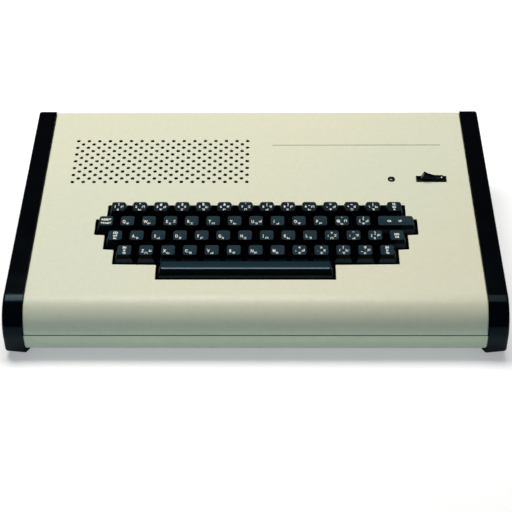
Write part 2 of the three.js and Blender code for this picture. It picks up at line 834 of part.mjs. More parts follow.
function rearPanelSolid() {
  const down = rearSocketHeight - trayFloor - clearance;
  const shoulder = rearSocketHeight - backEdge + clearance;
  const top = rearSocketHeight - slopeHeight(rearFace, coverInset) + backRadius;
  const narrow = coverRight - trayCornerRadius;
  const overTrayCorner = rearSocketHeight - trayBottom - trayCornerRadius - clearance;
  const plate = union([
    block([coverLeft, shoulder, -rearPanelWall], [coverRight, overTrayCorner, 0]),
    block([-narrow, top, -rearPanelWall], [narrow, down, 0]),
  ]);
  const low = -rearPanelWall - cutOverrun;
  const vents = [];
  for (let i = 0; i < rearVentCount; i++) {
    const x = rearVentRight - i * rearVentPitch;
    vents.push(blockOn(x, 0, rearVentWidth, rearVentHeight, low, cutOverrun));
  }
  const holeRound = (x, width, height, wall) => {
    const room = 2 * (wall + clearance);
    return blockOn(x, 0, width + room, height + room, low, cutOverrun);
  };
  return cutAway(plate, [
    ...vents,
    ...Object.values(socketRights).map((x) =>
      post(x, 0, socketRadius + clearance, low, cutOverrun, socketSides),
    ),
    holeRound(inletRight, inletWidth, inletHeight, inletWall),
    holeRound(expansionRight, expansionWidth, expansionHeight, expansionWall),
  ]);
}

makeMesh("rear_panel", rearPanelSolid(), "creamPaint", rear);

// A shell with a flange outside the panel and a recess that is open to the back.
function recessedShell(width, height, corner, depth, wall, flange) {
  const rim = clearance + flangeThickness;
  const outerWidth = width + 2 * wall;
  const outerHeight = height + 2 * wall;
  const ring = (w, h, z) => cutCornerRing(w, h, corner, 0, z);
  const body = loft([rim - depth - wall, rim].map((z) => ring(outerWidth, outerHeight, z)));
  const lip = [outerWidth + 2 * flange, outerHeight + 2 * flange];
  const plate = loft([ring(...lip, clearance), ring(...lip, rim)]);
  const recess = blockOn(0, 0, width, height, rim - depth, rim + cutOverrun);
  return union([body, plate]).subtract(recess);
}

const inlet = makeMesh(
  "mains_inlet",
  recessedShell(inletWidth, inletHeight, inletCorner, inletDepth, inletWall, inletFlange),
  "blackPlastic",
  rear,
);
inlet.position.x = inletRight;

const expansion = makeMesh(
  "expansion_connector",
  recessedShell(
    expansionWidth,
    expansionHeight,
    expansionCorner,
    expansionDepth,
    expansionWall,
    expansionFlange,
  ),
  "blackPlastic",
  rear,
);
expansion.position.x = expansionRight;

// A round socket: an insulating face inside a ring-shaped groove for the plug's shield.
function roundSocketSolid() {
  const rim = clearance + flangeThickness;
  const low = rim - socketDepth;
  const body = post(0, 0, socketRadius, low, rim, socketSides);
  const plate = blockOn(0, 0, socketFlangeWidth, socketFlangeHeight, clearance, rim);
  const groove = post(0, 0, grooveOuter, rim - grooveDepth, rim + cutOverrun, socketSides);
  const core = post(0, 0, grooveInner, low, rim + cutOverrun, socketSides);
  return union([body, plate]).subtract(groove.subtract(core));
}

for (const [name, right] of Object.entries(socketRights)) {
  const socket = makeMesh(name, roundSocketSolid(), "blackPlastic", rear);
  socket.position.x = right;
}

// Main circuit board on the tray's posts, with rows of chips

function boardSolid() {
  const low = trayFloor + boardLift + clearance;
  const high = low + boardThickness;
  const [front, back] = [-boardDepth / 2, boardDepth / 2];
  const pieces = [block([boardLeft, front, low], [boardRight, back, high])];
  for (let row = 0; row < chipRows; row++) {
    const y = front + (boardDepth * (row + 1 / 2)) / chipRows;
    let left = boardLeft + chipGap;
    for (const length of chipLengths) {
      if (left + length + chipGap <= boardRight) {
        pieces.push(blockOn(left + length / 2, y, length, chipWidth, low, high + chipHeight));
        left += length + chipStep;
      }
    }
  }
  return union(pieces);
}

makeMesh("main_circuit_board", boardSolid(), "circuitGreen", computer);

// Power transformer: a laminated core, a coil through it and a mounting strap

function transformerSolid() {
  const low = trayFloor + clearance;
  const [x, y] = [transformerX, yBack - transformerSetback];
  const core = blockOn(x, y, coreWidth, coreDepth, low, low + coreHeight);
  const coil = blockOn(
    x,
    y,
    coreWidth - 2 * coilInset,
    coreDepth + 2 * coilReach,
    low + coilInset,
    low + coreHeight - coilInset,
  );
  const strap = blockOn(x, y, coreWidth + 2 * mountReach, coreDepth, low, low + mountThickness);
  const holes = sides.map((side) =>
    post(
      x + side * ((coreWidth + mountReach) / 2),
      y,
      mountHoleRadius,
      low - cutOverrun,
      low + mountThickness + cutOverrun,
      postSides,
    ),
  );
  return cutAway(union([core, coil, strap]), holes);
}

makeMesh("power_transformer", transformerSolid(), "zincPlate", computer);

export default computer;
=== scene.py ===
# %% [markdown]
# # A vintage home computer, dressed around its engineering model
#
# The object is a wedge-shaped home computer: a painted sheet-steel cover with a keyboard set in its
# slope, two black end cheeks, a grille of punched holes, a lamp and a power rocker. The engineering
# model already holds every piece at its real size. This lesson keeps those places and builds the
# surfaces that the eye reads: rolled steel, moulded keys with printed legends, grained plastic.

# %% Load the frame
import json
import math
from collections import namedtuple

import bmesh
import bpy
from mathutils import Matrix, Vector
from mathutils.geometry import delaunay_2d_cdt


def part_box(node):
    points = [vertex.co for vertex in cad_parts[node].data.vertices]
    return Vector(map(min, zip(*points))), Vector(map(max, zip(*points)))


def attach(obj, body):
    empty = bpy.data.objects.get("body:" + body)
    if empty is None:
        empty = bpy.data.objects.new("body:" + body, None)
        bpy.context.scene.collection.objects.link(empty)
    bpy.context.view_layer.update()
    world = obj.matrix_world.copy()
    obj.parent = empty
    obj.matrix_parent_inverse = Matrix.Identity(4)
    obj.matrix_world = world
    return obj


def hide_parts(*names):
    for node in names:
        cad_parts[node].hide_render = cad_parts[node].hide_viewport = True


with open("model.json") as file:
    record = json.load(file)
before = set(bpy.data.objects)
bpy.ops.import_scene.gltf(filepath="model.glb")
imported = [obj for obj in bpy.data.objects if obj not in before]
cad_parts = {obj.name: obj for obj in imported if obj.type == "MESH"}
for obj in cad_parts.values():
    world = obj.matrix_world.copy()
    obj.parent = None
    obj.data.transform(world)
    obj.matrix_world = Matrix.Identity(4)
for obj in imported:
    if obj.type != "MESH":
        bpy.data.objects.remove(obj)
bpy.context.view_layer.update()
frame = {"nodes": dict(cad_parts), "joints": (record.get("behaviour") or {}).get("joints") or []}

# %% [markdown]
# ## Sizes that several pieces share
#
# The case is an outline in the y-z plane carried across the width: a leaning front, a rolled nose,
# a straight slope and a rounded back. Every cover, cheek and tray surface lies at some inset inside
# that one outline, so the outline is a function of the inset. The angle of the slope comes from the
# joints: each key slides straight down into the panel.

# %% Case sizes
MM = 0.001
CASE_DEPTH = 278 * MM
NOSE_RADIUS = 28 * MM
NOSE_HEIGHT = 20.5 * MM  # centre of the nose above the cheeks' underside
NOSE_DRAFT = math.radians(6.6)  # lean of the front face
BACK_RADIUS = 5 * MM
FOOT_RADIUS = 3 * MM  # outer corners at the bottom
LEAST_RADIUS = 0.3 * MM
CHEEK_PROUD = 1.2 * MM
SHEET = 2 * MM
CLEARANCE = 0.3 * MM
KEY_ORIGIN_UP = 75.2 * MM  # keyboard's origin, up the slope from the nose
FULL_TURN = 2 * math.pi
QUARTER = math.pi / 2

key_joint = next(j for j in frame["joints"] if j["name"] == "key_space_travel")
SLOPE = math.atan2(key_joint["axis"][1], -key_joint["axis"][2])
cover_low, cover_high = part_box("top_cover")
cheek_low, cheek_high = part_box("right_end_cheek")
COVER_RIGHT = cover_high.x
CHEEK_BOTTOM = cheek_low.z
Y_FRONT = -CASE_DEPTH / 2
Y_BACK = CASE_DEPTH / 2
NOSE_Y = Y_FRONT + NOSE_RADIUS
NOSE_Z = CHEEK_BOTTOM + NOSE_HEIGHT
print("slope", round(math.degrees(SLOPE), 2), "degrees; cover", round(2 * COVER_RIGHT, 4), "m wide")


def slope_height(y, inset):
    """Height of the sloping surface that lies an inset inside the outline."""
    return NOSE_Z + (NOSE_RADIUS - inset) / math.cos(SLOPE) + (y - NOSE_Y) * math.tan(SLOPE)


def front_face(z, inset):
    """Depth of the leaning front face at a height."""
    radius = NOSE_RADIUS - inset
    drop = NOSE_Z - radius * math.sin(NOSE_DRAFT) - z
    return NOSE_Y - radius * math.cos(NOSE_DRAFT) + drop * math.tan(NOSE_DRAFT)


def arc(y, z, radius, start, end, steps):
    """Points of an arc in the y-z plane, both ends included."""
    angles = (start + (end - start) * i / steps for i in range(steps + 1))
    return [(y + radius * math.cos(a), z + radius * math.sin(a)) for a in angles]


def back_corner(inset, steps):
    """The rounded corner between the slope and the back, from the slope down to the back face."""
    radius = max(BACK_RADIUS - inset, LEAST_RADIUS)
    y = Y_BACK - inset - radius
    z = slope_height(y, inset) - radius / math.cos(SLOPE)
    return arc(y, z, radius, QUARTER + SLOPE, 0, steps)


def nose(inset, steps, start=math.pi + NOSE_DRAFT):
    """The rolled front, from the leaning face or from a later angle up to the slope."""
    return arc(NOSE_Y, NOSE_Z, NOSE_RADIUS - inset, start, QUARTER + SLOPE, steps)


def foot_corner(inset, bottom, steps):
    """The corner between the underside and the leaning front face, from the underside upwards."""
    radius = max(FOOT_RADIUS - inset, LEAST_RADIUS)
    y = front_face(bottom + radius, inset) + radius / math.cos(NOSE_DRAFT)
    return arc(y, bottom + radius, radius, -QUARTER, -math.pi + NOSE_DRAFT, steps)


def rear_foot_corner(inset, bottom, steps):
    """The corner between the back face and the underside, from the back face downwards."""
    radius = max(FOOT_RADIUS - inset, LEAST_RADIUS)
    return arc(Y_BACK - inset - radius, bottom + radius, radius, 0, -QUARTER, steps)


# %% [markdown]
# ## The panel's own frame
#
# Keys, grille, lamp and rocker all lie on the slope. They are far easier to place in a frame that
# lies on it too: u to the right, v up the slope, h out of the panel. One matrix takes that frame to
# the world, and a helper lets a piece be built flat and then laid on the panel.

# %% Panel frame
COVER_NOSE = NOSE_RADIUS - CHEEK_PROUD
PANEL_ORIGIN = Vector(
    (
        0,
        NOSE_Y - COVER_NOSE * math.sin(SLOPE) + KEY_ORIGIN_UP * math.cos(SLOPE),
        NOSE_Z + COVER_NOSE * math.cos(SLOPE) + KEY_ORIGIN_UP * math.sin(SLOPE),
    )
)
PANEL = Matrix.Translation(PANEL_ORIGIN) @ Matrix.Rotation(SLOPE, 4, "X")
print("panel origin", tuple(round(v, 5) for v in PANEL_ORIGIN))

# %% [markdown]
# ## Camera first
#
# The photograph looks down on the desk from the front with a long lens. The case's straight edges and
# the rows of keys gave the camera: about 98 mm on a 36 mm sensor, tipped 35.8 degrees down, 1.3 m away.
# A long lens keeps the far and near edges of the case at nearly the same scale.

# %% Camera
CAMERA_PLACE = Vector((0.0163, -1.0576, 0.7705))
CAMERA_PITCH = math.radians(35.81)  # below the horizon
CAMERA_YAW = math.radians(0.93)
CAMERA_ROLL = math.radians(-0.56)
LENS = 98.44  # millimetres, as Blender takes it
FARTHEST = 100

camera_data = bpy.data.cameras.new("camera")
camera_data.lens = LENS
camera_data.clip_end = FARTHEST
camera = bpy.data.objects.new("camera", camera_data)
bpy.context.scene.collection.objects.link(camera)
turn = Matrix.Rotation(CAMERA_YAW, 4, "Z") @ Matrix.Rotation(QUARTER - CAMERA_PITCH, 4, "X")
roll = Matrix.Rotation(CAMERA_ROLL, 4, "Z")
camera.matrix_world = Matrix.Translation(CAMERA_PLACE) @ turn @ roll
bpy.context.scene.camera = camera
bpy.context.scene.view_settings.view_transform = "Standard"
print("camera", round(CAMERA_PLACE.length, 3), "m away with a lens of", LENS, "mm")

# %% [markdown]
# ## A mesh and its piece
#
# Every piece ends the same way: its mesh becomes an object with a name, takes its finishes and rides on
# a body of the frame. Sharp edges are set by angle, so that curves shade smoothly and corners stay
# crisp. A bevel on every piece would look alike, but would need many more faces.

# %% Mesh helpers
CREASE = math.radians(32)
WELD = 0.001 * MM


def finish_piece(name, mesh, materials, body="root", replaces=()):
    """Links a mesh as a named piece that rides on a body."""
    mesh.name = name
    piece = bpy.data.objects.new(name, mesh)
    bpy.context.scene.collection.objects.link(piece)
    for material in materials:
        mesh.materials.append(material)
    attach(piece, body)
    if replaces:
        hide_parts(*replaces)
    print(f"{name}: {len(mesh.polygons)} faces on {body}")


def shade(mesh, angle=CREASE):
    """Smooth faces with sharp edges where the surface turns by more than the angle."""
    for polygon in mesh.polygons:
        polygon.use_smooth = True
    mesh.set_sharp_from_angle(angle=angle)
    return mesh


def mesh_from(points, faces, matrix=None):
    """A mesh of points and faces, moved by a matrix, with its faces turned outwards."""
    mesh = bpy.data.meshes.new("mesh")
    mesh.from_pydata([tuple(p) for p in points], [], faces)
    work = bmesh.new()
    work.from_mesh(mesh)
    bmesh.ops.remove_doubles(work, verts=work.verts, dist=WELD)
    bmesh.ops.recalc_face_normals(work, faces=work.faces)
    work.to_mesh(mesh)
    work.free()
    if matrix:
        mesh.transform(matrix)
    mesh.validate()
    return mesh

# %% [markdown]
# ## Rings and lofts
#
# Most pieces are rings of points skinned into a closed body: a key from its skirt to the floor of its
# dish, a cheek across its width, a socket from its face to its tail. The loft takes any list of rings
# of equal length. Extruding by hand, step after step, gives the same forms, but a list of rings can be
# written from measurements and changed later.

# %% Rings and lofts
def loft_data(rings, closed_ends=True):
    """Points and faces of rings skinned one after another."""
    count = len(rings[0])
    points = [p for ring in rings for p in ring]
    faces = []
    for level in range(len(rings) - 1):
        for i in range(count):
            a, b = level * count + i, level * count + (i + 1) % count
            faces.append((a, b, b + count, a + count))
    if closed_ends:
        faces.append(tuple(range(count))[::-1])
        last = len(points) - count
        faces.append(tuple(range(last, last + count)))
    return points, faces


def loft(rings, matrix=None):
    """A closed mesh from rings of points."""
    points, faces = loft_data(rings)
    return mesh_from(points, faces, matrix)


def rounded_ring(width, depth, radius, steps, x=0, y=0, z=0):
    """A rectangle with round corners, as a ring of points at a height."""
    radius = min(radius, width / 2, depth / 2)
    ring = []
    for corner, (sx, sy) in enumerate(((1, 1), (-1, 1), (-1, -1), (1, -1))):
        cx = x + sx * (width / 2 - radius)
        cy = y + sy * (depth / 2 - radius)
        for i in range(steps + 1):
            a = QUARTER * (corner + i / steps)
            ring.append(Vector((cx + radius * math.cos(a), cy + radius * math.sin(a), z)))
    return ring


def round_ring(radius, sides, x=0, y=0, z=0):
    """A circle as a ring of points at a height."""
    angles = (FULL_TURN * i / sides for i in range(sides))
    return [Vector((x + radius * math.cos(a), y + radius * math.sin(a), z)) for a in angles]


def turned(profile, sides, matrix=None):
    """A closed solid of revolution from radii and heights; its first and last radii close it."""
    return loft([round_ring(radius, sides, z=z) for radius, z in profile], matrix)

# %% [markdown]
# ## Joining and cutting
#
# Pockets, bores and slots are cut by exact booleans, because they meet curved walls and have to leave
# closed solids. Each boolean is worked out at once, so that a finished piece is a plain mesh without
# modifiers. Parts that only travel together are joined without any cutting.

# %% Joining and cutting
def joined(*meshes):
    """Several meshes as one, with their material numbers kept."""
    work = bmesh.new()
    for mesh in meshes:
        work.from_mesh(mesh)
    whole = bpy.data.meshes.new("joined")
    work.to_mesh(whole)
    work.free()
    return whole


def block(low, high):
    """A box mesh between two corners."""
    (ax, ay, az), (bx, by, bz) = low, high
    lower = [(ax, ay, az), (bx, ay, az), (bx, by, az), (ax, by, az)]
    upper = [(x, y, bz) for x, y, _ in lower]
    return loft([[Vector(p) for p in lower], [Vector(p) for p in upper]])


def combined(mesh, operation, *others):
    """Boolean of a mesh with others, worked out exactly."""
    body = bpy.data.objects.new("body", mesh)
    bpy.context.scene.collection.objects.link(body)
    helpers = []
    for other in others:
        helper = bpy.data.objects.new("helper", other)
        bpy.context.scene.collection.objects.link(helper)
        modifier = body.modifiers.new("boolean", "BOOLEAN")
        modifier.operation = operation
        modifier.solver = "EXACT"
        modifier.object = helper
        helpers.append(helper)
    bpy.context.view_layer.update()
    evaluated = body.evaluated_get(bpy.context.evaluated_depsgraph_get())
    result = bpy.data.meshes.new_from_object(evaluated)
    for helper in [body, *helpers]:
        bpy.data.objects.remove(helper)
    return result

# %% [markdown]
# ## Shader maths as Python
#
# A material is a small program drawn as nodes. Wrapping a socket in a class with operators lets the
# program be written as it is thought: grain * 0.04 + 1 adds its two Math nodes by itself. Colours are
# given as they are read from a screen, and turned once into the linear values that Blender mixes.

# %% Shader helpers
class Link:
    """A node's output that can be used in sums; each operator adds one Math node."""

    def __init__(self, graph, socket):
        self.graph = graph
        self.socket = socket

    def maths(self, operation, a, b):
        return self.graph.node("ShaderNodeMath", {"operation": operation}, {0: a, 1: b})

    def __add__(self, other):
        return self.maths("ADD", self, other)

    __radd__ = __add__

    def __sub__(self, other):
        return self.maths("SUBTRACT", self, other)

    def __mul__(self, other):
        return self.maths("MULTIPLY", self, other)

    def __gt__(self, other):
        return self.maths("GREATER_THAN", self, other)


class Graph:
    """A material or a world whose nodes are made by expressions."""

    def __init__(self, name, owners=bpy.data.materials, surface="Principled BSDF"):
        self.owner = owners.new(name)
        self.owner.use_nodes = True
        self.tree = self.owner.node_tree
        self.surface = self.tree.nodes[surface]

    def feed(self, socket, value):
        """Links a socket, or gives it a value."""
        if isinstance(value, Link):
            self.tree.links.new(value.socket, socket)
        else:
            socket.default_value = value

    def node(self, kind, settings, values, output=0):
        """Adds a node: its settings first, then the values or links of its sockets."""
        made = self.tree.nodes.new(kind)
        for name, value in settings.items():
            setattr(made, name, value)
        for name, value in values.items():
            self.feed(made.inputs[name], value)
        return Link(self, made.outputs[output])

    def place(self):
        """Where a point lies on the object, in metres."""
        return self.node("ShaderNodeTexCoord", {}, {}, "Object")

    def noise(self, size, detail=2.0, stretch=(1, 1, 1)):
        """Noise whose blots are about a size across, from 0 to 1."""
        scaled = self.node("ShaderNodeMapping", {}, {"Vector": self.place(), "Scale": stretch})
        values = {"Vector": scaled, "Scale": 1 / size, "Detail": detail}
        return self.node("ShaderNodeTexNoise", {}, values)

    def mix(self, factor, a, b):
        """A colour between two colours; a tuple is a colour written as it is."""
        return self.node("ShaderNodeMix", {"data_type": "RGBA"}, {0: factor, 6: a, 7: b}, 2)

    def ranged(self, value, low, high):
        """A value carried from the range low to high onto 0 to 1, and held there."""
        values = {"Value": value, "From Min": low, "From Max": high}
        return self.node("ShaderNodeMapRange", {}, values)

    def bump(self, height, depth):
        """A normal for a height from 0 to 1 over a depth in metres."""
        values = {"Height": height, "Distance": depth, "Strength": 1.0}
        return self.node("ShaderNodeBump", {}, values)

    def finish(self, **values):
        """Sets the surface's own sockets by name, with spaces written as underscores."""
        for name, value in values.items():
            self.feed(self.surface.inputs[name.replace("_", " ")], value)
        print(f"{self.owner.name}: {len(self.tree.nodes)} nodes")
        return self.owner


def screen(red, green, blue):
    """A colour read from a screen, 0 to 255, as linear values with full opacity."""
    linear = []
    for level in (red, green, blue):
        share = level / 255
        linear.append(share / 12.92 if share <= 0.04045 else ((share + 0.055) / 1.055) ** 2.4)
    return (*linear, 1.0)


# %% [markdown]
# ## Cream paint
#
# The cover and tray are folded sheet steel under a satin cream paint with a fine speckle. One flat
# colour would look like paper. Three scales of noise carry it: a soft drift of warmth over the whole
# case, a mottle of a few millimetres, and specks under a millimetre. The same specks raise the paint
# a few hundredths of a millimetre, so that its highlight breaks up.

# %% Cream paint
DRIFT_SIZE = 220 * MM
MOTTLE_SIZE = 5 * MM
SPECK_SIZE = 0.9 * MM
PAINT_RELIEF = 0.03 * MM


def cream_paint():
    graph = Graph("cream paint")
    drift = graph.noise(DRIFT_SIZE, 1.0)
    mottle = graph.noise(MOTTLE_SIZE, 3.0)
    speck = graph.noise(SPECK_SIZE)
    warm, cool = screen(229, 227, 199), screen(223, 226, 201)
    ground = graph.mix(graph.ranged(drift, 0.35, 0.65), cool, warm)
    soft = graph.mix(graph.ranged(mottle, 0.3, 0.7) * 0.22, ground, screen(207, 209, 185))
    speckled = graph.mix(graph.ranged(speck, 0.52, 0.72) * 0.2, soft, screen(176, 181, 160))
    return graph.finish(
        Base_Color=speckled,
        Roughness=graph.ranged(mottle, 0.2, 0.8) * 0.1 + 0.38,
        Normal=graph.bump(speck * 0.7 + mottle * 0.3, PAINT_RELIEF),
        Specular_IOR_Level=0.5,
    )


CREAM = cream_paint()

# %% [markdown]
# ## Black plastics
#
# The cheeks, the keys and the switch are moulded in blue-black plastic. They differ in grain: the
# cheeks are satin with a fine spark-eroded grain, the key skirts are smoother, and the key tops are
# textured where fingers land, so they scatter light and look blue-grey beside the black walls. One
# function with a few numbers makes the family, and one table holds those numbers; the table also holds
# painted light, named where it stands. The fronts that face the painted panel take light from it. That
# pale foot is a painted sheen: the panel's reflection drawn into their colour by the height above the
# panel, because black plastic this dark would hide it otherwise.

# %% Black plastics
COOL_GLOSS = (0.42, 0.76, 1.0, 1.0)
WEAR_SIZE = 30 * MM
SIDE_GRAIN = 0.4 * MM
SIDE_RELIEF = 0.006 * MM
SIDE_ROUGHNESS = 0.3
SIDE_GLOSS = 0.06
TOP_GRAIN = 0.35 * MM
TOP_RELIEF = 0.02 * MM
# Where the painted sheen on the key fronts begins, just above the panel; below it they stay black.
SHADOW_EDGE = 0.1 * MM
# The pale foot on the key fronts is painted sheen, the panel's paint reflected low on them.
FADE_SHARE = 0.85  # of the pale foot's height, where it begins to fade
FRONT_REACH = 3.7 * MM  # height of the pale foot on a key's front, above the panel
BAR_REACH = 1.7 * MM
KEY_BASE = -2.4 * MM  # lower lip of the keys, from the panel


def moulded(name, colour, worn, roughness, grain, depth, specular):
    """Moulded plastic: a colour with a worn tone in its grain, and a bump of that grain."""
    graph = Graph(name)
    fine = graph.noise(grain)
    broad = graph.noise(WEAR_SIZE)
    toned = graph.mix(graph.ranged(fine, 0.35, 0.7) * 0.5, colour, worn)
    return graph.finish(
        Base_Color=graph.mix(graph.ranged(broad, 0.4, 0.7) * 0.3, toned, worn),
        Roughness=graph.ranged(broad, 0.3, 0.7) * 0.08 + roughness,
        Normal=graph.bump(fine, depth),
        Specular_IOR_Level=specular,
        Specular_Tint=COOL_GLOSS,
    )


def plastic_family():
    """Every black plastic: colour, worn colour, roughness, grain, grain depth and specular level."""
    side_tones = (screen(1, 2, 2), screen(3, 4, 5))
    recipes = {
        "cheek": (screen(2, 2, 3), screen(4, 5, 7), 0.11, 0.5 * MM, 0.006 * MM, 0.13),
        "key side": (*side_tones, SIDE_ROUGHNESS, SIDE_GRAIN, SIDE_RELIEF, SIDE_GLOSS),
        "key top": (screen(24, 42, 49), screen(38, 58, 65), 0.5, TOP_GRAIN, TOP_RELIEF, 0.1),
        # Painted shade: the back row's tops, painted darker than the other tops.
        "back key top": (screen(10, 22, 28), screen(22, 36, 42), 0.5, TOP_GRAIN, TOP_RELIEF, 0.1),
        "bar top": (screen(18, 36, 43), screen(30, 49, 56), 0.5, TOP_GRAIN, TOP_RELIEF, 0.06),
        # Painted highlight along the bar's front edge.
        "bar edge": (screen(102, 130, 142), screen(118, 146, 156), 0.4, TOP_GRAIN, 0.01 * MM, 0.3),
        "frame": (screen(1, 1, 2), screen(2, 3, 4), 0.6, 0.6 * MM, 0.01 * MM, 0.04),
        "switch": (screen(3, 4, 5), screen(7, 8, 10), 0.22, 0.4 * MM, 0.004 * MM, 0.15),
        "rule": (screen(52, 58, 56), screen(66, 72, 70), 0.5, 0.4 * MM, 0.004 * MM, 0.2),
        # Painted highlight: the pale strip down the rocker's left end.
        "inlay": (screen(96, 104, 104), screen(120, 128, 126), 0.4, 0.4 * MM, 0.004 * MM, 0.3),
    }
    return {name: moulded(name, *values) for name, values in recipes.items()}


def painted_sheen_front(name, reach):
    """Black key fronts with a painted sheen, the panel's reflection, from the panel up to a reach."""
    graph = Graph(name)
    across, up = (
        graph.node("ShaderNodeSeparateXYZ", {}, {"Vector": graph.place()}, axis) for axis in "YZ"
    )
    panel_lift = PANEL_ORIGIN.z * math.cos(SLOPE) - PANEL_ORIGIN.y * math.sin(SLOPE)
    height = up * math.cos(SLOPE) - across * math.sin(SLOPE) - panel_lift
    fine = graph.noise(SIDE_GRAIN)
    black = graph.mix(graph.ranged(fine, 0.35, 0.7), screen(1, 2, 2), screen(3, 4, 5))
    painted_sheen = graph.mix(graph.ranged(height, reach * FADE_SHARE, reach), screen(46, 60, 68), black)
    return graph.finish(
        Base_Color=graph.mix(graph.ranged(height, 0, SHADOW_EDGE), black, painted_sheen),
        Roughness=graph.ranged(fine, 0.3, 0.7) * 0.08 + SIDE_ROUGHNESS,
        Normal=graph.bump(fine, SIDE_RELIEF),
        Specular_IOR_Level=SIDE_GLOSS,
    )


PLASTIC = plastic_family()
# Key fronts with painted sheen: the panel's reflection painted into their colour.
PLASTIC["key front"] = painted_sheen_front("key front", FRONT_REACH)
PLASTIC["bar front"] = painted_sheen_front("bar front", BAR_REACH)

# %% [markdown]
# ## The cover's section
#
# The cover is one sheet: from the seam round the nose, up the slope, over the back corner and down the
# back. Its ends curl in under the cheeks' edge and turn down into a flange that carries the
# cheeks. A section is therefore a list of depth and height pairs for one inset, always with the same
# number of points, so that sections at different insets can be skinned to each other.

# %% Cover section
NOSE_STEPS = 44
BACK_STEPS = 10
SEAM_TOP = cover_low.z  # lower edge of the cover at the front
BACK_EDGE = 14 * MM  # how far the cover turns down at the back
BACK_EDGE_HEIGHT = slope_height(Y_BACK - CHEEK_PROUD, CHEEK_PROUD) - BACK_EDGE
PANEL_START = NOSE_STEPS  # index of the section's point where the slope begins


def cover_section(depth):
    """Depths and heights of a skin at a depth under the paint, from the front seam to the back edge."""
    inset = CHEEK_PROUD + depth
    seam_angle = math.pi - math.asin((SEAM_TOP - NOSE_Z) / (NOSE_RADIUS - inset))
    front = nose(inset, NOSE_STEPS, seam_angle)
    return front + back_corner(inset, BACK_STEPS) + [(Y_BACK - inset, BACK_EDGE_HEIGHT)]


# %% [markdown]
# ## Openings in the panel
#
# The panel is flat, so its openings are cut in two dimensions, before the sheet has a thickness: a
# constrained triangulation fills the space between the outlines, and the triangles that fall inside
# an opening are left out. Each opening has a rim: the paint rounds over the punched edge, and that
# thin bright ring is what makes a hole look like a hole in steel and not like a printed dot.

# %% Openings
GRILLE_COLUMNS = 17
GRILLE_ROWS = 13
HOLE_PITCH_U = 10.1 * MM
HOLE_PITCH_V = 5.02 * MM
HOLE_RADIUS = 1.72 * MM
HOLE_SIDES = 20
GRILLE_INSET = 25.7 * MM  # first column from the cover's left end
GRILLE_FRONT = 72.09 * MM  # front row, up the panel from the keyboard's origin
RIM = 0.4 * MM
BREAKOUT = 0.9 * MM  # how much wider a punched hole is underneath
PUNCHED = 0.8 * MM  # depth of its straight wall
KEY_PITCH = 19.05 * MM
CUT_MARGIN = 1 * MM
FRONT_TRIM = 0.75 * MM  # the opening is closer round the keys at its front edges
CUT_CORNER = 0.8 * MM
CUT_STEPS = 3


def grille_centres():
    """Centres of the punched holes; every second row is shifted by half a pitch."""
    centres = []
    for row in range(GRILLE_ROWS):
        shifted = row % 2
        for column in range(GRILLE_COLUMNS - shifted):
            u = -COVER_RIGHT + GRILLE_INSET + (column + shifted / 2) * HOLE_PITCH_U
            centres.append((u, GRILLE_FRONT + row * HOLE_PITCH_V))
    return centres


print(len(grille_centres()), "holes in the grille")


# %% [markdown]
# ## Where the keys lie
#
# Four rows, each shifted sideways by half a key from its neighbour, and a long bar make the stepped
# outline. The second row starts with a key that stands outside all others and ends with one two keys
# wide. Empty strings mark keys with only marks on them; in the engineering model those are one piece
# with the keyboard's frame. The middle of every key follows from the pitch alone.

# %% Keyboard layout
KEY_ROWS = [
    ["1", "2", "3", "4", "5", "6", "7", "8", "9", "0", "", "", "", "clear"],
    ["reset", *"qwertyuiop", "", "", "return"],
    ["control", *"asdfghjkl", "", "", "", "mode"],
    ["shift_left", *"zxcvbnm", "", "", "", "", "shift_right"],
    ["space"],
]
ROW_START_SHARES = [-6.5, -7, -6.5, -6, -0.45]  # of the pitch
FIRST_ROW_SHARE = 1.5
KEY_WIDTH_SHARES = {"return": 2, "space": 8.06}
Key = namedtuple("Key", "row name label body width_share x y")


def laid_out_keys():
    """Every key's row, name, piece label, body, width in pitches and centre."""
    keys, fixed = [], 0
    for row, names in enumerate(KEY_ROWS):
        place = ROW_START_SHARES[row]
        for i, name in enumerate(names):
            width_share = KEY_WIDTH_SHARES.get(name, 1)
            if i:
                place += (width_share + 1) / 2
            fixed += not name
            label, body = (name, f"key_{name}") if name else (f"fixed_{fixed}", "root")
            y = (FIRST_ROW_SHARE - row) * KEY_PITCH
            keys.append(Key(row, name, label, body, width_share, place * KEY_PITCH, y))
    return keys


KEYS = laid_out_keys()
print(len(KEYS), "keys,", sum(1 for key in KEYS if key.name), "of them with a joint")

# %% [markdown]
# ## The outline round the keys
#
# The opening in the panel, the plate under it and the dark wall all follow the rows of keys in steps,
# each at its own distance. So the outline is a function of a margin, and none of its corners is
# written by hand. Its corners are rounded as a punch would round them.

# %% Outline of the keys
def row_ends(row, margin=0):
    """Left end, right end and middle depth of a row of keys, with a margin at its ends."""
    members = [key for key in KEYS if key.row == row]
    first, last = members[0], members[-1]
    left = first.x - first.width_share * KEY_PITCH / 2 - margin
    right = last.x + last.width_share * KEY_PITCH / 2 + margin
    return left, right, first.y


def stepped_corners(margin, trim=0):
    """Outline of the stepped field of keys with a margin all round, anticlockwise.

    A wider row keeps its margin where two rows meet. The trim draws every edge that faces the
    front back by as much.
    """
    rows = [row_ends(row, margin) for row in range(len(KEY_ROWS))]
    half = KEY_PITCH / 2 + margin
    right_side, left_side = [], []
    for side, index, sign in ((right_side, 1, 1), (left_side, 0, -1)):
        for row, ends in enumerate(rows):
            x, v = ends[index], ends[2]
            juts_above, juts_below = (
                not 0 <= other < len(rows) or sign * x > sign * rows[other][index]
                for other in (row - 1, row + 1)
            )
            top = v + (half if juts_above else half - 2 * margin)
            low = v - (half - trim if juts_below else half - 2 * margin)
            side += [(x, top), (x, low)]
    return right_side[::-1] + left_side


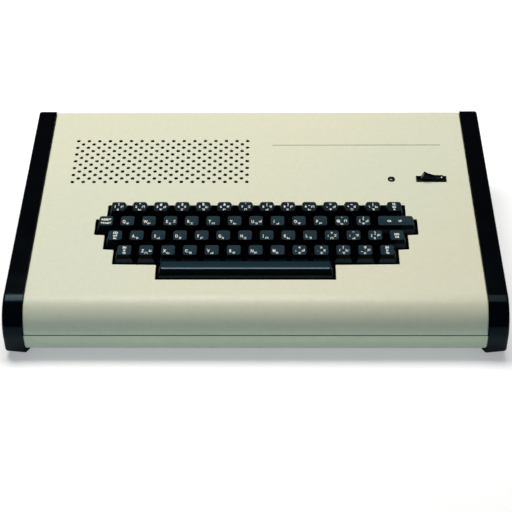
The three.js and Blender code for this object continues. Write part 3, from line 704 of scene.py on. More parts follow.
def rounded_outline(corners, radius, steps):
    """An outline with every corner rounded, whether it turns inwards or outwards."""
    points = []
    for i, corner in enumerate(corners):
        here = Vector(corner)
        before = (Vector(corners[i - 1]) - here).normalized()
        after = (Vector(corners[(i + 1) % len(corners)]) - here).normalized()
        for step in range(steps + 1):
            t = step / steps
            a, b = here + before * radius * (1 - t), here + after * radius * t
            points.append(a.lerp(b, t))
    return points

# %% [markdown]
# ## Cutting the flat panel
#
# The cutter takes an outline and a list of openings and returns triangles. A triangle lies inside an
# opening only if all its corners are on that opening's rim, so only those are tested, with the usual
# test that counts how often a ray crosses the outline.


# %% Panel cutter
CUT_TOLERANCE = 0.0001 * MM


def inside(point, outline):
    """True if a point lies inside an outline."""
    x, y = point
    crossings = 0
    for i, (bx, by) in enumerate(outline):
        ax, ay = outline[i - 1]
        if (ay > y) != (by > y) and x < ax + (y - ay) * (bx - ax) / (by - ay):
            crossings += 1
    return crossings % 2 == 1


def cut_sheet(outline, openings):
    """Points and triangles of a flat sheet with openings in it."""
    loops = [outline, *openings]
    flat = [Vector(p) for loop in loops for p in loop]
    edges, owner, first = [], [], 0
    for number, loop in enumerate(loops):
        edges += [(first + i, first + (i + 1) % len(loop)) for i in range(len(loop))]
        owner += [number] * len(loop)
        first += len(loop)
    points, _, triangles, origins, _, _ = delaunay_2d_cdt(flat, edges, [], 1, CUT_TOLERANCE)
    kept = []
    for triangle in triangles:
        owners = {owner[origins[i][0]] for i in triangle}
        middle = sum((points[i] for i in triangle), Vector((0, 0))) / len(triangle)
        only = owners.pop()
        if owners or only == 0 or not inside(middle, loops[only]):
            kept.append(triangle)
    return points, kept


def circle(u, v, radius, sides):
    """A circle as flat points."""
    angles = (FULL_TURN * i / sides for i in range(sides))
    return [(u + radius * math.cos(a), v + radius * math.sin(a)) for a in angles]


# %% [markdown]
# ## The cover
#
# The outer skin, the inner skin and the turned-down ends are all sections at their own inset, skinned
# across the width. Only the slope between them is cut separately. Each opening is a rim wider in the
# outer face, where the paint rounds over its edge, and wider still in the inner face, where the punch
# broke through; loops of wall join the two. The bends get many steps because the nose is where the
# light turns from bright to shade.

# %% Cover
END_ROLL = 1.3 * MM  # radius of the curl at the cover's ends
ROLL_STEPS = 5
FLANGE = 12 * MM
RIM_SHARE = 0.3  # of the rim, at the middle point of its rounding
FLAT_ANGLE = CREASE / 100
SWITCH_U = 161.1 * MM
SWITCH_V = 75.19 * MM
SWITCH_CUT = (26.2 * MM, 7.2 * MM)
LAMP_U = 124.4 * MM
LAMP_V = 75.19 * MM
LAMP_CUT = 2.8 * MM


def end_profile():
    """Distance inside the cover's end and inset, from the outer skin round to the inner skin."""
    roll = []
    for i in range(ROLL_STEPS + 1):
        a = QUARTER * i / ROLL_STEPS
        roll.append((END_ROLL * (1 - math.sin(a)), END_ROLL * (1 - math.cos(a))))
    return roll + [(0, FLANGE), (SHEET, FLANGE), (SHEET, SHEET)]


def opening_rims(wider):
    """Flat outlines of all openings in the panel, each wider by as much on every side."""
    loops = [circle(u, v, HOLE_RADIUS + wider, HOLE_SIDES) for u, v in grille_centres()]
    field = stepped_corners(CUT_MARGIN + wider, FRONT_TRIM)
    loops.append([tuple(p) for p in rounded_outline(field, CUT_CORNER, CUT_STEPS)])
    width, depth = (size / 2 + wider for size in SWITCH_CUT)
    corners = ((1, 1), (-1, 1), (-1, -1), (1, -1))
    loops.append([(SWITCH_U + sx * width, SWITCH_V + sy * depth) for sx, sy in corners])
    loops.append(circle(LAMP_U, LAMP_V, LAMP_CUT + wider, HOLE_SIDES))
    return loops


def skin(stations, open_spans):
    """Points and faces of the cover's sections skinned across the width.

    The spans that are named stay open on the slope, where the cut sheets go.
    """
    sections = [cover_section(inset) for _, inset in stations]
    count, length = len(stations), len(sections[0])
    points = [(x, *sections[i][j]) for j in range(length) for i, (x, _) in enumerate(stations)]
    faces = [tuple(range(count)), tuple(range((length - 1) * count, length * count))]
    for j in range(length - 1):
        for i in range(count):
            a, b = j * count + i, j * count + (i + 1) % count
            if j != PANEL_START or i not in open_spans:
                faces.append((a, b, b + count, a + count))
    return points, faces


def gap_corners(points, count, i):
    """Corners of the gap that a span leaves in the skin, as flat points on the panel."""
    to_panel = PANEL.inverted()
    corners = []
    for j, k in ((0, i), (0, i + 1), (1, i + 1), (1, i)):
        corner = to_panel @ Vector(points[(PANEL_START + j) * count + k % count])
        corners.append((corner.x, corner.y))
    return corners


def on_panel(flat, height):
    """Flat points laid on the panel at a height."""
    return [PANEL @ Vector((*p, height)) for p in flat]


def extend(points, faces, more_points, more_faces):
    """Adds points and the faces between them to a mesh's lists."""
    first = len(points)
    points.extend(tuple(p) for p in more_points)
    faces.extend(tuple(first + i for i in face) for face in more_faces)


def flatten_panel(mesh):
    """Shades the panel's own faces flat, so that its many thin triangles don't show."""
    panel_normal = PANEL.to_3x3() @ Vector((0, 0, 1))
    for polygon in mesh.polygons:
        if abs(polygon.normal.dot(panel_normal)) > math.cos(FLAT_ANGLE):
            polygon.use_smooth = False
    return mesh


def cover_mesh():
    profile = end_profile()
    stations = [(-COVER_RIGHT + x, inset) for x, inset in profile][::-1]
    stations += [(COVER_RIGHT - x, inset) for x, inset in profile]
    outside, within = len(profile) - 1, len(stations) - 1
    points, faces = skin(stations, (outside, within))
    for i, wider, height in ((outside, RIM, 0), (within, BREAKOUT, -SHEET)):
        border = gap_corners(points, len(stations), i)
        flat, triangles = cut_sheet(border, opening_rims(wider))
        extend(points, faces, on_panel(flat, height), triangles)
    rounding = RIM * RIM_SHARE
    levels = ((RIM, 0), (rounding, -rounding), (0, -RIM), (0, -PUNCHED), (BREAKOUT, -SHEET))
    for loops in zip(*(opening_rims(wider) for wider, _ in levels)):
        rings = [on_panel(loop, height) for loop, (_, height) in zip(loops, levels)]
        extend(points, faces, *loft_data(rings, closed_ends=False))
    return flatten_panel(shade(mesh_from(points, faces)))


finish_piece("cover_shell", cover_mesh(), [CREAM], replaces=["top_cover"])

# %% [markdown]
# ## The form of a key
#
# A key is one loft of rounded rings. From its lower lip the skirt rises in a shallow hollow curve to a
# smaller top that lies a little behind its middle, so that each row shows more of its front than of
# its back. The rings go on inside the top's edge, and their height there makes the dish, or on the
# long bar a low crown. A sculpted mesh could show the same curves, but not with the same exact width.

# %% Key form
KEY_GAP = 1 * MM
KEY_TOP_HEIGHT = 7.3 * MM
TOP_WIDTH = 12.2 * MM
TOP_DEPTH = 12.4 * MM
BAR_TOP_DEPTH = 9.6 * MM
TOP_BACK = 0.7 * MM
TOP_CORNER = 2.2 * MM
BASE_CORNER = 1.1 * MM
DISH = 0.9 * MM
BAR_CROWN = 0.7 * MM
SKIRT_HOLLOW = 0.07  # share of the taper that the skirt's curve takes away in its middle
SKIRT_STEPS = 7
EDGE_ROUND = 0.45 * MM
EDGE_STEPS = 3
DISH_STEPS = 6
DISH_SHARE = 0.96  # of the top's half width, that the rings of the dish cover
DISH_CORNER_SHARE = 0.3
CORNER_STEPS = 5
LIP = 0.3 * MM
BAR_STEM_SPREAD = 3 * KEY_PITCH


def is_bar(width_share):
    return width_share == KEY_WIDTH_SHARES["space"]


def stem_offsets(width_share):
    """Where a key's stems stand across its width."""
    return (-BAR_STEM_SPREAD, 0, BAR_STEM_SPREAD) if is_bar(width_share) else (0,)


def top_size(width_share):
    """Width and depth of a key's top."""
    depth = BAR_TOP_DEPTH if is_bar(width_share) else TOP_DEPTH
    return TOP_WIDTH + (width_share - 1) * KEY_PITCH, depth


def top_height(width_share, x, y):
    """Height of a key's top over a point, measured from its rim: a dish, or the bar's crown."""
    width, depth = top_size(width_share)
    inset = min(width / 2 - abs(x), depth / 2 - abs(y - TOP_BACK))
    left = 1 - max(inset, 0) / (min(width, depth) / 2)
    rise = BAR_CROWN if is_bar(width_share) else -DISH
    return KEY_TOP_HEIGHT + rise * (1 - left * left)


def skirt_rings(width_share):
    """Rings of a key from its lip up to the edge of its top."""
    spread, base = (width_share - 1) * KEY_PITCH, KEY_PITCH - KEY_GAP
    width, depth = top_size(width_share)
    low, high = KEY_BASE + LIP, KEY_TOP_HEIGHT - EDGE_ROUND
    lip_size = (spread + base - 2 * LIP, base - 2 * LIP)
    rings = [rounded_ring(*lip_size, BASE_CORNER, CORNER_STEPS, z=KEY_BASE)]
    for i in range(SKIRT_STEPS + 1):
        t = i / SKIRT_STEPS
        taper = t + SKIRT_HOLLOW * math.sin(math.pi * t)
        size = (spread + base + (width - spread - base) * taper, base + (depth - base) * taper)
        corner = BASE_CORNER + (TOP_CORNER - BASE_CORNER) * t
        height = low + (high - low) * t
        rings.append(rounded_ring(*size, corner, CORNER_STEPS, y=TOP_BACK * t, z=height))
    return rings


def top_rings(width_share):
    """Rings of a key from the rounded edge of its top to the middle of its dish."""
    width, depth = top_size(width_share)
    rings = []
    for i in range(1, EDGE_STEPS + 1):
        a = QUARTER * i / EDGE_STEPS
        inset = EDGE_ROUND * (1 - math.cos(a))
        height = KEY_TOP_HEIGHT - EDGE_ROUND * (1 - math.sin(a))
        size = (width - 2 * inset, depth - 2 * inset)
        rings.append(rounded_ring(*size, TOP_CORNER - inset, CORNER_STEPS, y=TOP_BACK, z=height))
    reach = min(width, depth) / 2 * DISH_SHARE
    for i in range(1, DISH_STEPS + 1):
        inset = EDGE_ROUND + (reach - EDGE_ROUND) * i / DISH_STEPS
        size = (width - 2 * inset, depth - 2 * inset)
        corner = max(TOP_CORNER - inset, min(size) * DISH_CORNER_SHARE)
        height = top_height(width_share, 0, TOP_BACK + depth / 2 - inset)
        rings.append(rounded_ring(*size, corner, CORNER_STEPS, y=TOP_BACK, z=height))
    return rings

# %% [markdown]
# ## The keys on the panel
#
# Keys of one width are the same moulding, so each width is made once and copied to its places. The
# faces are sorted by height and direction into four finishes: sides, top, front edge of the top and
# front. A mask in the material could sort them too, but the edge between two finishes would blur. The
# bar's top has a paler strip along its front edge: a painted highlight where its rounded edge meets the
# lamp. The fronts of the last row and of the outer keys carry a painted sheen, and the back row's tops
# are painted darker, as painted shade.

# %% Keys
# The paler strip along the bar's front edge is a painted highlight.
BAR_HIGHLIGHT_WIDTH = 1.2 * MM  # width of the paler strip on the bar
KEY_CREASE = math.radians(40)
FACES_UP = 0.5  # least upward part of a normal on a key's top
FACES_FRONT = 0.7
STEM = 5.6 * MM
STEM_LENGTH = 12.6 * MM
LAST_KEY_ROW = 3
# The fronts of the last row and of these keys carry a painted sheen.
OUTER_KEYS = ("return", "mode")  # their fronts are seen whole, as the last row's are


def key_mesh(width_share):
    """A key about its own origin, in four finishes: sides, top, front edge of the top and front."""
    cap = shade(loft(skirt_rings(width_share) + top_rings(width_share)), KEY_CREASE)
    # The front strip of the top takes the painted highlight on the bar; front faces may take painted
    # sheen.
    highlight_line = TOP_BACK - top_size(width_share)[1] / 2 + BAR_HIGHLIGHT_WIDTH
    lowest = KEY_TOP_HEIGHT - DISH - EDGE_ROUND
    for polygon in cap.polygons:
        if polygon.center.z > lowest and polygon.normal.z > FACES_UP:
            polygon.material_index = 2 if polygon.center.y < highlight_line else 1
        # Front faces, where some keys carry a painted sheen.
        elif polygon.normal.y < -FACES_FRONT:
            polygon.material_index = 3
    stems = []
    for x in stem_offsets(width_share):
        heights = (KEY_BASE - STEM_LENGTH, KEY_BASE + LIP)
        stems.append(loft([rounded_ring(STEM, STEM, LIP, 1, x=x, z=z) for z in heights]))
    return joined(cap, *stems)


def key_finishes(key):
    """Finishes of a key's sides, its top, the front edge of its top and its front."""
    # On the bar, the front edge of the top is a painted highlight and the front carries a painted sheen.
    if is_bar(key.width_share):
        names = ("key side", "bar top", "bar edge", "bar front")
    else:
        # The back row's tops are painted darker, as painted shade.
        top = "key top" if key.row else "back key top"
        # The fronts of the last row and the outer keys carry a painted sheen.
        painted_sheen = key.row == LAST_KEY_ROW or key.name in OUTER_KEYS
        names = ("key side", top, top, "key front" if painted_sheen else "key side")
    return [PLASTIC[name] for name in names]


def placed(mesh, x, y):
    """A copy of a mesh laid on the panel at a place."""
    copy = mesh.copy()
    copy.transform(PANEL @ Matrix.Translation((x, y, 0)))
    return copy


KEY_SHAPES = {share: key_mesh(share) for share in {key.width_share for key in KEYS}}
for key in KEYS:
    shape = placed(KEY_SHAPES[key.width_share], key.x, key.y)
    covered = [key.body] if key.name else []
    piece_name = f"keycap_{key.label}"
    finish_piece(piece_name, shape, key_finishes(key), key.body, replaces=covered)

# %% [markdown]
# ## The keyboard behind its keys
#
# A plate carries the keys, and under each row runs a rail of switch housings on a contact board. A low
# wall round it keeps dust and light out. Little of it shows: dark edges between the skirts. Its bores
# are real, because every moving key's stem has to go down through them.

# %% Keyboard frame
FRAME_PLATE = 2.5 * MM
FRAME_MARGIN = 5 * MM
DUST_WALL = 1.2 * MM
TRAVEL = 4 * MM
LANDING = 1 * MM
RAIL_DEPTH = 13 * MM
CONTACT_BOARD = 1.6 * MM
CONTACT_MARGIN = 2.5 * MM
POST_RADIUS = 3.4 * MM
POST_PAD = 14 * MM
POST_REACH = 9 * MM
POST_SPREAD = 45 * MM
POST_SIDES = 24
FRAME_TOP = KEY_BASE - TRAVEL - LANDING
PLATE_BOTTOM = FRAME_TOP - FRAME_PLATE
BORE_FLOOR = KEY_BASE - STEM_LENGTH - TRAVEL - LANDING
BORE = STEM + 2 * CLEARANCE


def prism(corners, low, high):
    """A closed solid with a flat outline between two heights."""
    return loft([[Vector((x, y, z)) for x, y in corners] for z in (low, high)])


def box_on(x, y, width, depth, low, high):
    """A block by its middle and size."""
    return block((x - width / 2, y - depth / 2, low), (x + width / 2, y + depth / 2, high))


def frame_posts():
    """Places of the posts that hang the frame from the cover."""
    half = max(row_ends(row)[1] for row in range(len(KEY_ROWS)))
    bar = KEYS[-1]
    back, front = KEYS[0].y + KEY_PITCH / 2, bar.y - KEY_PITCH / 2
    posts = []
    for side in (-1, 1):
        posts += [(side * (half + POST_REACH), 0), (side * POST_SPREAD, back + POST_REACH)]
        posts.append((bar.x + side * POST_SPREAD, front - POST_REACH))
    return posts


def keyboard_mesh():
    parts = [prism(stepped_corners(CONTACT_MARGIN), BORE_FLOOR - CONTACT_BOARD, BORE_FLOOR)]
    for x, y in frame_posts():
        parts.append(box_on(x, y, POST_PAD, POST_PAD, PLATE_BOTTOM, FRAME_TOP))
        ends = (PLATE_BOTTOM, -SHEET - CLEARANCE)
        parts.append(loft([round_ring(POST_RADIUS, POST_SIDES, x, y, z) for z in ends]))
    for row in range(len(KEY_ROWS)):
        left, right, v = row_ends(row)
        low, high = BORE_FLOOR - CONTACT_BOARD / 2, PLATE_BOTTOM + FRAME_PLATE / 2
        parts.append(box_on((left + right) / 2, v, right - left, RAIL_DEPTH, low, high))
    field = prism(stepped_corners(FRAME_MARGIN), PLATE_BOTTOM, -SHEET - CLEARANCE)
    whole = combined(field, "UNION", *parts)
    bores = []
    for key in KEYS:
        for dx in stem_offsets(key.width_share):
            bores.append(box_on(key.x + dx, key.y, BORE, BORE, BORE_FLOOR, FRAME_TOP + SHEET))
    room = prism(stepped_corners(FRAME_MARGIN - DUST_WALL), FRAME_TOP, SHEET)
    return combined(whole, "DIFFERENCE", room, joined(*bores))


keyboard = placed(keyboard_mesh(), 0, 0)
finish_piece("keyboard_plate", keyboard, [PLASTIC["frame"]], replaces=["keyboard_frame"])

# %% [markdown]
# ## End cheeks
#
# Each cheek is the case's own outline, carried out from the cover and rounded over at its outer edge,
# with its underside hollow and ribbed. Its top edge catches the lamp in a thin line, which is why the
# rounding gets more steps than it would seem to need. A ledge runs in under the tray and hollows
# itself round the tray's edge.

# %% Cheeks
CHEEK_OUT = cheek_high.x
CHEEK_IN = COVER_RIGHT + CLEARANCE
CHEEK_FOOT_RISE = 2.4 * MM  # how much higher the underside lies at the outer edge
CHEEK_WALL = 3 * MM
CHEEK_EDGE = 2.5 * MM
CHEEK_EDGE_STEPS = 8
CHEEK_RIBS = 4
RIB_WIDTH = 2.4 * MM
TRAY_LIFT = 5.4 * MM
TRAY_BOTTOM = CHEEK_BOTTOM + TRAY_LIFT
TRAY_CORNER = 4 * MM
FOOT_STEPS = 6
LEDGE_STEPS = 8
INNER_STEPS = 16  # of the nose, where it is out of sight
FAR = CASE_DEPTH


def outline(inset, bottom, bend_steps=NOSE_STEPS):
    """The case's whole outline at an inset, over a flat underside at a height."""
    front = foot_corner(inset, bottom, FOOT_STEPS) + nose(inset, bend_steps)
    return front + back_corner(inset, BACK_STEPS) + rear_foot_corner(inset, bottom, FOOT_STEPS)


def slab(inset, bottom, left, right, bend_steps=NOSE_STEPS):
    """The case's outline at an inset, from left to right."""
    section = outline(inset, bottom, bend_steps)
    return loft([[Vector((x, y, z)) for y, z in section] for x in (left, right)])


def cheek_mesh():
    rings = [(0, CHEEK_IN)]
    for i in range(CHEEK_EDGE_STEPS + 1):
        a = QUARTER * i / CHEEK_EDGE_STEPS
        rings.append((CHEEK_EDGE * (1 - math.cos(a)), CHEEK_OUT - CHEEK_EDGE * (1 - math.sin(a))))
    sections = []
    for inset, x in rings:
        rise = CHEEK_FOOT_RISE * (x - CHEEK_IN) / (CHEEK_OUT - CHEEK_IN)
        sections.append([Vector((x, y, z)) for y, z in outline(inset, CHEEK_BOTTOM + rise + inset)])
    body = loft(sections)
    room_bottom = CHEEK_BOTTOM + CHEEK_FOOT_RISE + CHEEK_WALL
    room = slab(CHEEK_WALL, room_bottom, CHEEK_IN - SHEET, CHEEK_OUT - CHEEK_WALL, INNER_STEPS)
    ribs = []
    for i in range(1, CHEEK_RIBS + 1):
        y = Y_FRONT + CASE_DEPTH * i / (CHEEK_RIBS + 1)
        ribs.append(block((CHEEK_IN, y - RIB_WIDTH / 2, 0), (CHEEK_OUT, y + RIB_WIDTH / 2, FAR)))
    hollow = combined(body, "DIFFERENCE", combined(room, "DIFFERENCE", *ribs))
    return combined(hollow, "UNION", ledge_mesh())


def ledge_mesh():
    """The rail under the tray's end, its top hollow round the tray's edge."""
    radius = TRAY_CORNER + CLEARANCE
    middle, height = CHEEK_IN - radius, TRAY_BOTTOM + TRAY_CORNER
    section = [(CHEEK_IN + CHEEK_WALL / 2, CHEEK_BOTTOM), (CHEEK_IN + CHEEK_WALL / 2, height)]
    for i in range(LEDGE_STEPS + 1):
        a = -QUARTER * i / LEDGE_STEPS
        section.append((middle + radius * math.cos(a), height + radius * math.sin(a)))
    section.append((CHEEK_IN, CHEEK_BOTTOM))
    rail = loft([[Vector((x, y, z)) for x, z in section] for y in (-FAR, FAR)])
    reach = slab(CHEEK_PROUD, CHEEK_BOTTOM, middle - SHEET, CHEEK_IN + CHEEK_WALL)
    return combined(rail, "INTERSECT", reach)


right_cheek = shade(cheek_mesh())
left_cheek = right_cheek.copy()
left_cheek.transform(Matrix.Scale(-1, 4, (1, 0, 0)))
left_cheek.flip_normals()
for side, mesh in (("right", right_cheek), ("left", left_cheek)):
    node = f"{side}_end_cheek"
    finish_piece(f"cheek_{side}", mesh, [PLASTIC["cheek"]], replaces=[node])

# %% [markdown]
# ## Tray
#
# The tray is the same outline at the cover's depth, with its long edges rounded by a second outline
# that runs from front to back. Only its front lip shows, as a band of paint under the cover. The rest
# is cut down to a pan with cooling slots, since the rear panel and the cheeks close the case.

# %% Tray
SEAM_GAP = 0.9 * MM
LIP_TOP = SEAM_TOP - SEAM_GAP
TRAY_FLOOR = TRAY_BOTTOM + SHEET
COVER_INSET = CHEEK_PROUD + SHEET
TRAY_END_HEIGHT = 9 * MM
TRAY_BACK_LIP = 10 * MM
REAR_FACE = Y_BACK - COVER_INSET - CLEARANCE
VENT_COUNT = 9
VENT_PITCH = 11 * MM
VENT_WIDTH = 3.2 * MM
VENT_LENGTH = 34 * MM
VENT_SETBACK = 44 * MM
VENT_RIGHT = 20 * MM
VENT_STEPS = 4
OVERCUT = 1 * MM


def tray_envelope():
    """The tray's width with round lower edges, from front to back."""
    section = [(COVER_RIGHT, SEAM_TOP), (-COVER_RIGHT, SEAM_TOP)]
    middle, height = COVER_RIGHT - TRAY_CORNER, TRAY_BOTTOM + TRAY_CORNER
    for side, start in ((-1, 2 * QUARTER), (1, 3 * QUARTER)):
        for i in range(LEDGE_STEPS + 1):
            a = start + QUARTER * i / LEDGE_STEPS
            section.append((side * middle + TRAY_CORNER * math.cos(a), height + TRAY_CORNER * math.sin(a)))
    return loft([[Vector((x, y, z)) for x, z in section] for y in (-FAR, FAR)])


def tray_mesh():
    shell = combined(
        slab(CHEEK_PROUD, TRAY_BOTTOM, -COVER_RIGHT, COVER_RIGHT),
        "DIFFERENCE",
        slab(COVER_INSET, TRAY_FLOOR, -COVER_RIGHT + SHEET, COVER_RIGHT - SHEET),
    )
    end_top, back_lip = TRAY_BOTTOM + TRAY_END_HEIGHT, TRAY_BOTTOM + TRAY_BACK_LIP
    end_back = REAR_FACE - SHEET - CLEARANCE
    cutters = [
        block((-FAR, -FAR, LIP_TOP), (FAR, FAR, FAR)),
        block((-FAR, NOSE_Y, end_top), (FAR, 0, FAR)),
        block((-FAR, -OVERCUT, end_top), (FAR, end_back, FAR)),
        block((-FAR, end_back, back_lip), (FAR, FAR, FAR)),
    ]
    for side in (-1, 1):
        ends = sorted((side * (COVER_RIGHT - SHEET - OVERCUT), side * FAR))
        low = (ends[0], end_back, TRAY_BOTTOM + TRAY_CORNER)
        cutters.append(block(low, (ends[1], FAR, FAR)))
        for i in range(VENT_COUNT):
            place = (side * (VENT_RIGHT + i * VENT_PITCH), Y_BACK - VENT_SETBACK)
            heights = (TRAY_BOTTOM - OVERCUT, TRAY_FLOOR + OVERCUT)
            slot_form = (VENT_WIDTH, VENT_LENGTH, VENT_WIDTH / 2, VENT_STEPS)
            cutters.append(loft([rounded_ring(*slot_form, *place, z) for z in heights]))
    pan = combined(shell, "DIFFERENCE", *cutters)
    return combined(pan, "INTERSECT", tray_envelope())


finish_piece("tray_pan", shade(tray_mesh()), [CREAM], replaces=["bottom_tray"])

# %% [markdown]
# ## The seam
#
# Where cover and tray meet, the photograph shows an even dark line. A gap alone would let light in from
# the side and turn grey, so a black strip of painted shade lies on the tray's lip, and behind it a
# tongue, also black as painted shade, rises inside the cover and closes the view.

# %% Seam
TONGUE_WALL = 1.6 * MM
TONGUE_RISE = 6 * MM


def tongue_mesh():
    inset = COVER_INSET + CLEARANCE
    reach = COVER_RIGHT - SHEET - CLEARANCE
    outer = slab(inset, TRAY_FLOOR - SHEET / 2, -reach, reach, INNER_STEPS)
    inner = slab(inset + TONGUE_WALL, TRAY_FLOOR - SHEET / 4, -FAR, FAR, INNER_STEPS)
    front = block((-FAR, Y_FRONT, TRAY_BOTTOM), (FAR, NOSE_Y, SEAM_TOP - SEAM_GAP / 2 + TONGUE_RISE))
    return combined(combined(outer, "DIFFERENCE", inner), "INTERSECT", front)


def painted_shade_strip_mesh():
    """A black strip of painted shade that lies on the tray's lip and darkens the seam."""
    outer = slab(CHEEK_PROUD + CLEARANCE / 2, TRAY_BOTTOM, -COVER_RIGHT, COVER_RIGHT)
    inner = slab(COVER_INSET + CLEARANCE / 2, TRAY_BOTTOM, -FAR, FAR)
    front = block((-FAR, Y_FRONT, LIP_TOP), (FAR, NOSE_Y, SEAM_TOP - CLEARANCE / 2))
    return combined(combined(outer, "DIFFERENCE", inner), "INTERSECT", front)


# Tongue and strip are black as painted shade, so that the seam reads as a dark line.
finish_piece("seam_tongue", shade(tongue_mesh()), [PLASTIC["frame"]])
finish_piece("seam_strip", shade(painted_shade_strip_mesh()), [PLASTIC["frame"]])

# %% [markdown]
# ## Feet
#
# Four round rubber pads carry the tray. Each is turned from a short profile whose lower edge is
# rounded, so that a dark line of shadow stays round it on the floor.

# %% Feet
PAD_RADIUS = 8 * MM
PAD_SIDES = 40
PAD_CURVE = ((1.2, 0), (0.5, 0.2), (0, 0.8))  # millimetres in from the pad's edge, up from the floor
PAD_CHAMFER = 0.4 * MM
FOOT_PLACE = (COVER_RIGHT - 26 * MM, Y_BACK - 26 * MM)
pad_profile = [(PAD_RADIUS - x * MM, z * MM) for x, z in PAD_CURVE]
pad_profile.append((PAD_RADIUS, TRAY_BOTTOM - PAD_CHAMFER))
pad_profile.append((PAD_RADIUS - PAD_CHAMFER, TRAY_BOTTOM + SHEET / 2))
for side, side_name in ((-1, "left"), (1, "right")):
    for end, end_name in ((-1, "front"), (1, "back")):
        spot = Matrix.Translation((side * FOOT_PLACE[0], end * FOOT_PLACE[1], 0))
        foot = shade(turned(pad_profile, PAD_SIDES, spot))
        finish_piece(f"foot_{end_name}_{side_name}", foot, [PLASTIC["frame"]])

# %% [markdown]
# ## Shapes of the legends
#
# Legends are real shapes a tenth of a millimetre thick that follow the dish, so they stay sharp at any
# distance and travel with their key. A painted texture would be lighter, but would blur near by. Words
# and letters are text curves turned into meshes. Each small mark is drawn from a few strokes in a
# cell, chosen by the bits of its number.

# %% Legend shapes
MARK_CELL = (1.9 * MM, 2.4 * MM)
STROKE = 0.52 * MM
INK = 0.05 * MM
INK_LIFT = 0.03 * MM
BOLD = 0.16 * MM
CURVE_STEPS = 3
STROKES = (
    ((0, 1), (1, 1)),
    ((0, 0), (0, 1)),
    ((0, 0.5), (1, 0.5)),
    ((1, 0), (1, 1)),
    ((0, 0), (1, 0)),
    ((0.5, 0), (0.5, 1)),
)
STROKE_SETS = (0b000111, 0b100010, 0b110001, 0b001011, 0b010110, 0b101001, 0b011100, 0b100101)


def printed_text(text, size, slim):
    """A word as a thin closed mesh about its own middle, slimmer than the font draws it."""
    curve = bpy.data.curves.new("text", "FONT")
    curve.body = text
    curve.size = size
    curve.align_x = "CENTER"
    curve.align_y = "CENTER"
    curve.extrude = INK
    curve.offset = BOLD
    curve.resolution_u = CURVE_STEPS
    holder = bpy.data.objects.new("text", curve)
    bpy.context.scene.collection.objects.link(holder)
    bpy.context.view_layer.update()
    shape = holder.evaluated_get(bpy.context.evaluated_depsgraph_get())
    mesh = bpy.data.meshes.new_from_object(shape)
    bpy.data.objects.remove(holder)
    mesh.transform(Matrix.Scale(slim, 4, (1, 0, 0)))
    return mesh


def stroke_mark(number):
    """A small sign made of the strokes that a set's bits choose."""
    width, height = MARK_CELL
    bars = []
    for i, ((ax, ay), (bx, by)) in enumerate(STROKES):
        if STROKE_SETS[number % len(STROKE_SETS)] >> i & 1:
            low = ((ax - 0.5) * width - STROKE / 2, (ay - 0.5) * height - STROKE / 2, -INK)
            high = ((bx - 0.5) * width + STROKE / 2, (by - 0.5) * height + STROKE / 2, INK)
            bars.append(block(low, high))
    return joined(*bars)


def laid_on_key(mesh, width_share, share_x, share_y):
    """Moves a mark to its share of a key's top and lets it follow the dish."""
    width, depth = top_size(width_share)
    x = (share_x - 0.5) * width
    y = TOP_BACK + (0.5 - share_y) * depth
    mesh = mesh.copy()
    for vertex in mesh.vertices:
        vertex.co.x += x
        vertex.co.y += y
        vertex.co.z += top_height(width_share, vertex.co.x, vertex.co.y) + INK_LIFT
    return mesh

# %% [markdown]
# ## Legends on the keys
#
# Letter keys carry a large letter low on the left and a small mark beside it. The other keys carry four
# small marks in a diamond, or a short word in two or three rows. Places are shares of the top, so one
# table serves every key. The plain rule printed on the cover beside the grille is a thin block of the
# same kind.

# %% Legends
LETTER_SIZE = 5.2 * MM  # of the font, whose capitals are 0.7 of it
LETTER_SLIM = 0.64  # width against the font's own
SMALL_SLIM = 0.8
SMALL_SIZE = 3.9 * MM
WIDE_WORD = (3 * MM, 1.05, 0.38)  # size, width against the font's own, pitch of the rows as a share
NARROW_WORD = (3.2 * MM, 0.85, 0.29)
WEAR_SPOT = 1.2 * MM
LETTER_PLACE = (0.25, 0.57)  # shares of the top, from its left and from its back
BESIDE_PLACE = (0.51, 0.77)
DIAMOND = ((0.24, 0.5), (0.5, 0.24), (0.76, 0.5), (0.5, 0.8))
SHIFTED = dict(zip("1234567890", "!\"#$%&'()_"))
BARE_MARKS = iter(["-=", "^~", "\\|", "@`", "[{", ";+", ":*", "]}", ",<", ".>", "/?", "_"])
WORDS = {
    "clear": ("CL", "EA", "R"),
    "reset": ("RESET", "START"),
    "return": ("CR", "LF"),
    "control": ("CO", "NT", "RL"),
    "mode": ("MO", "DE"),
    "shift_left": ("SH", "IF", "TS"),
    "shift_right": ("SH", "IF", "TS"),
}
THIRD_MARKS = "ezu"
THIRD_PLACE = (0.8, 0.54)
WIDE_KEY_PLACES = (0.32, 0.63)
WORD_MIDDLE = 0.52  # share of the top, from its back
LONGEST_NARROW = 2  # letters
RULE_PLACE = (94 * MM, 125.7 * MM)
RULE_SIZE = (159.2 * MM, 0.6 * MM)


def word_parts(words, width_share):
    """The rows of a word on its key; on the wide key they stand side by side."""
    size, slim, pitch = WIDE_WORD if len(words[0]) > LONGEST_NARROW else NARROW_WORD
    parts = []
    for i, word in enumerate(words):
        place = (0.5, WORD_MIDDLE + (i - (len(words) - 1) / 2) * pitch)
        if width_share > 1:
            place = (WIDE_KEY_PLACES[i], place[0])
        parts.append(laid_on_key(printed_text(word, size, slim), width_share, *place))
    return parts


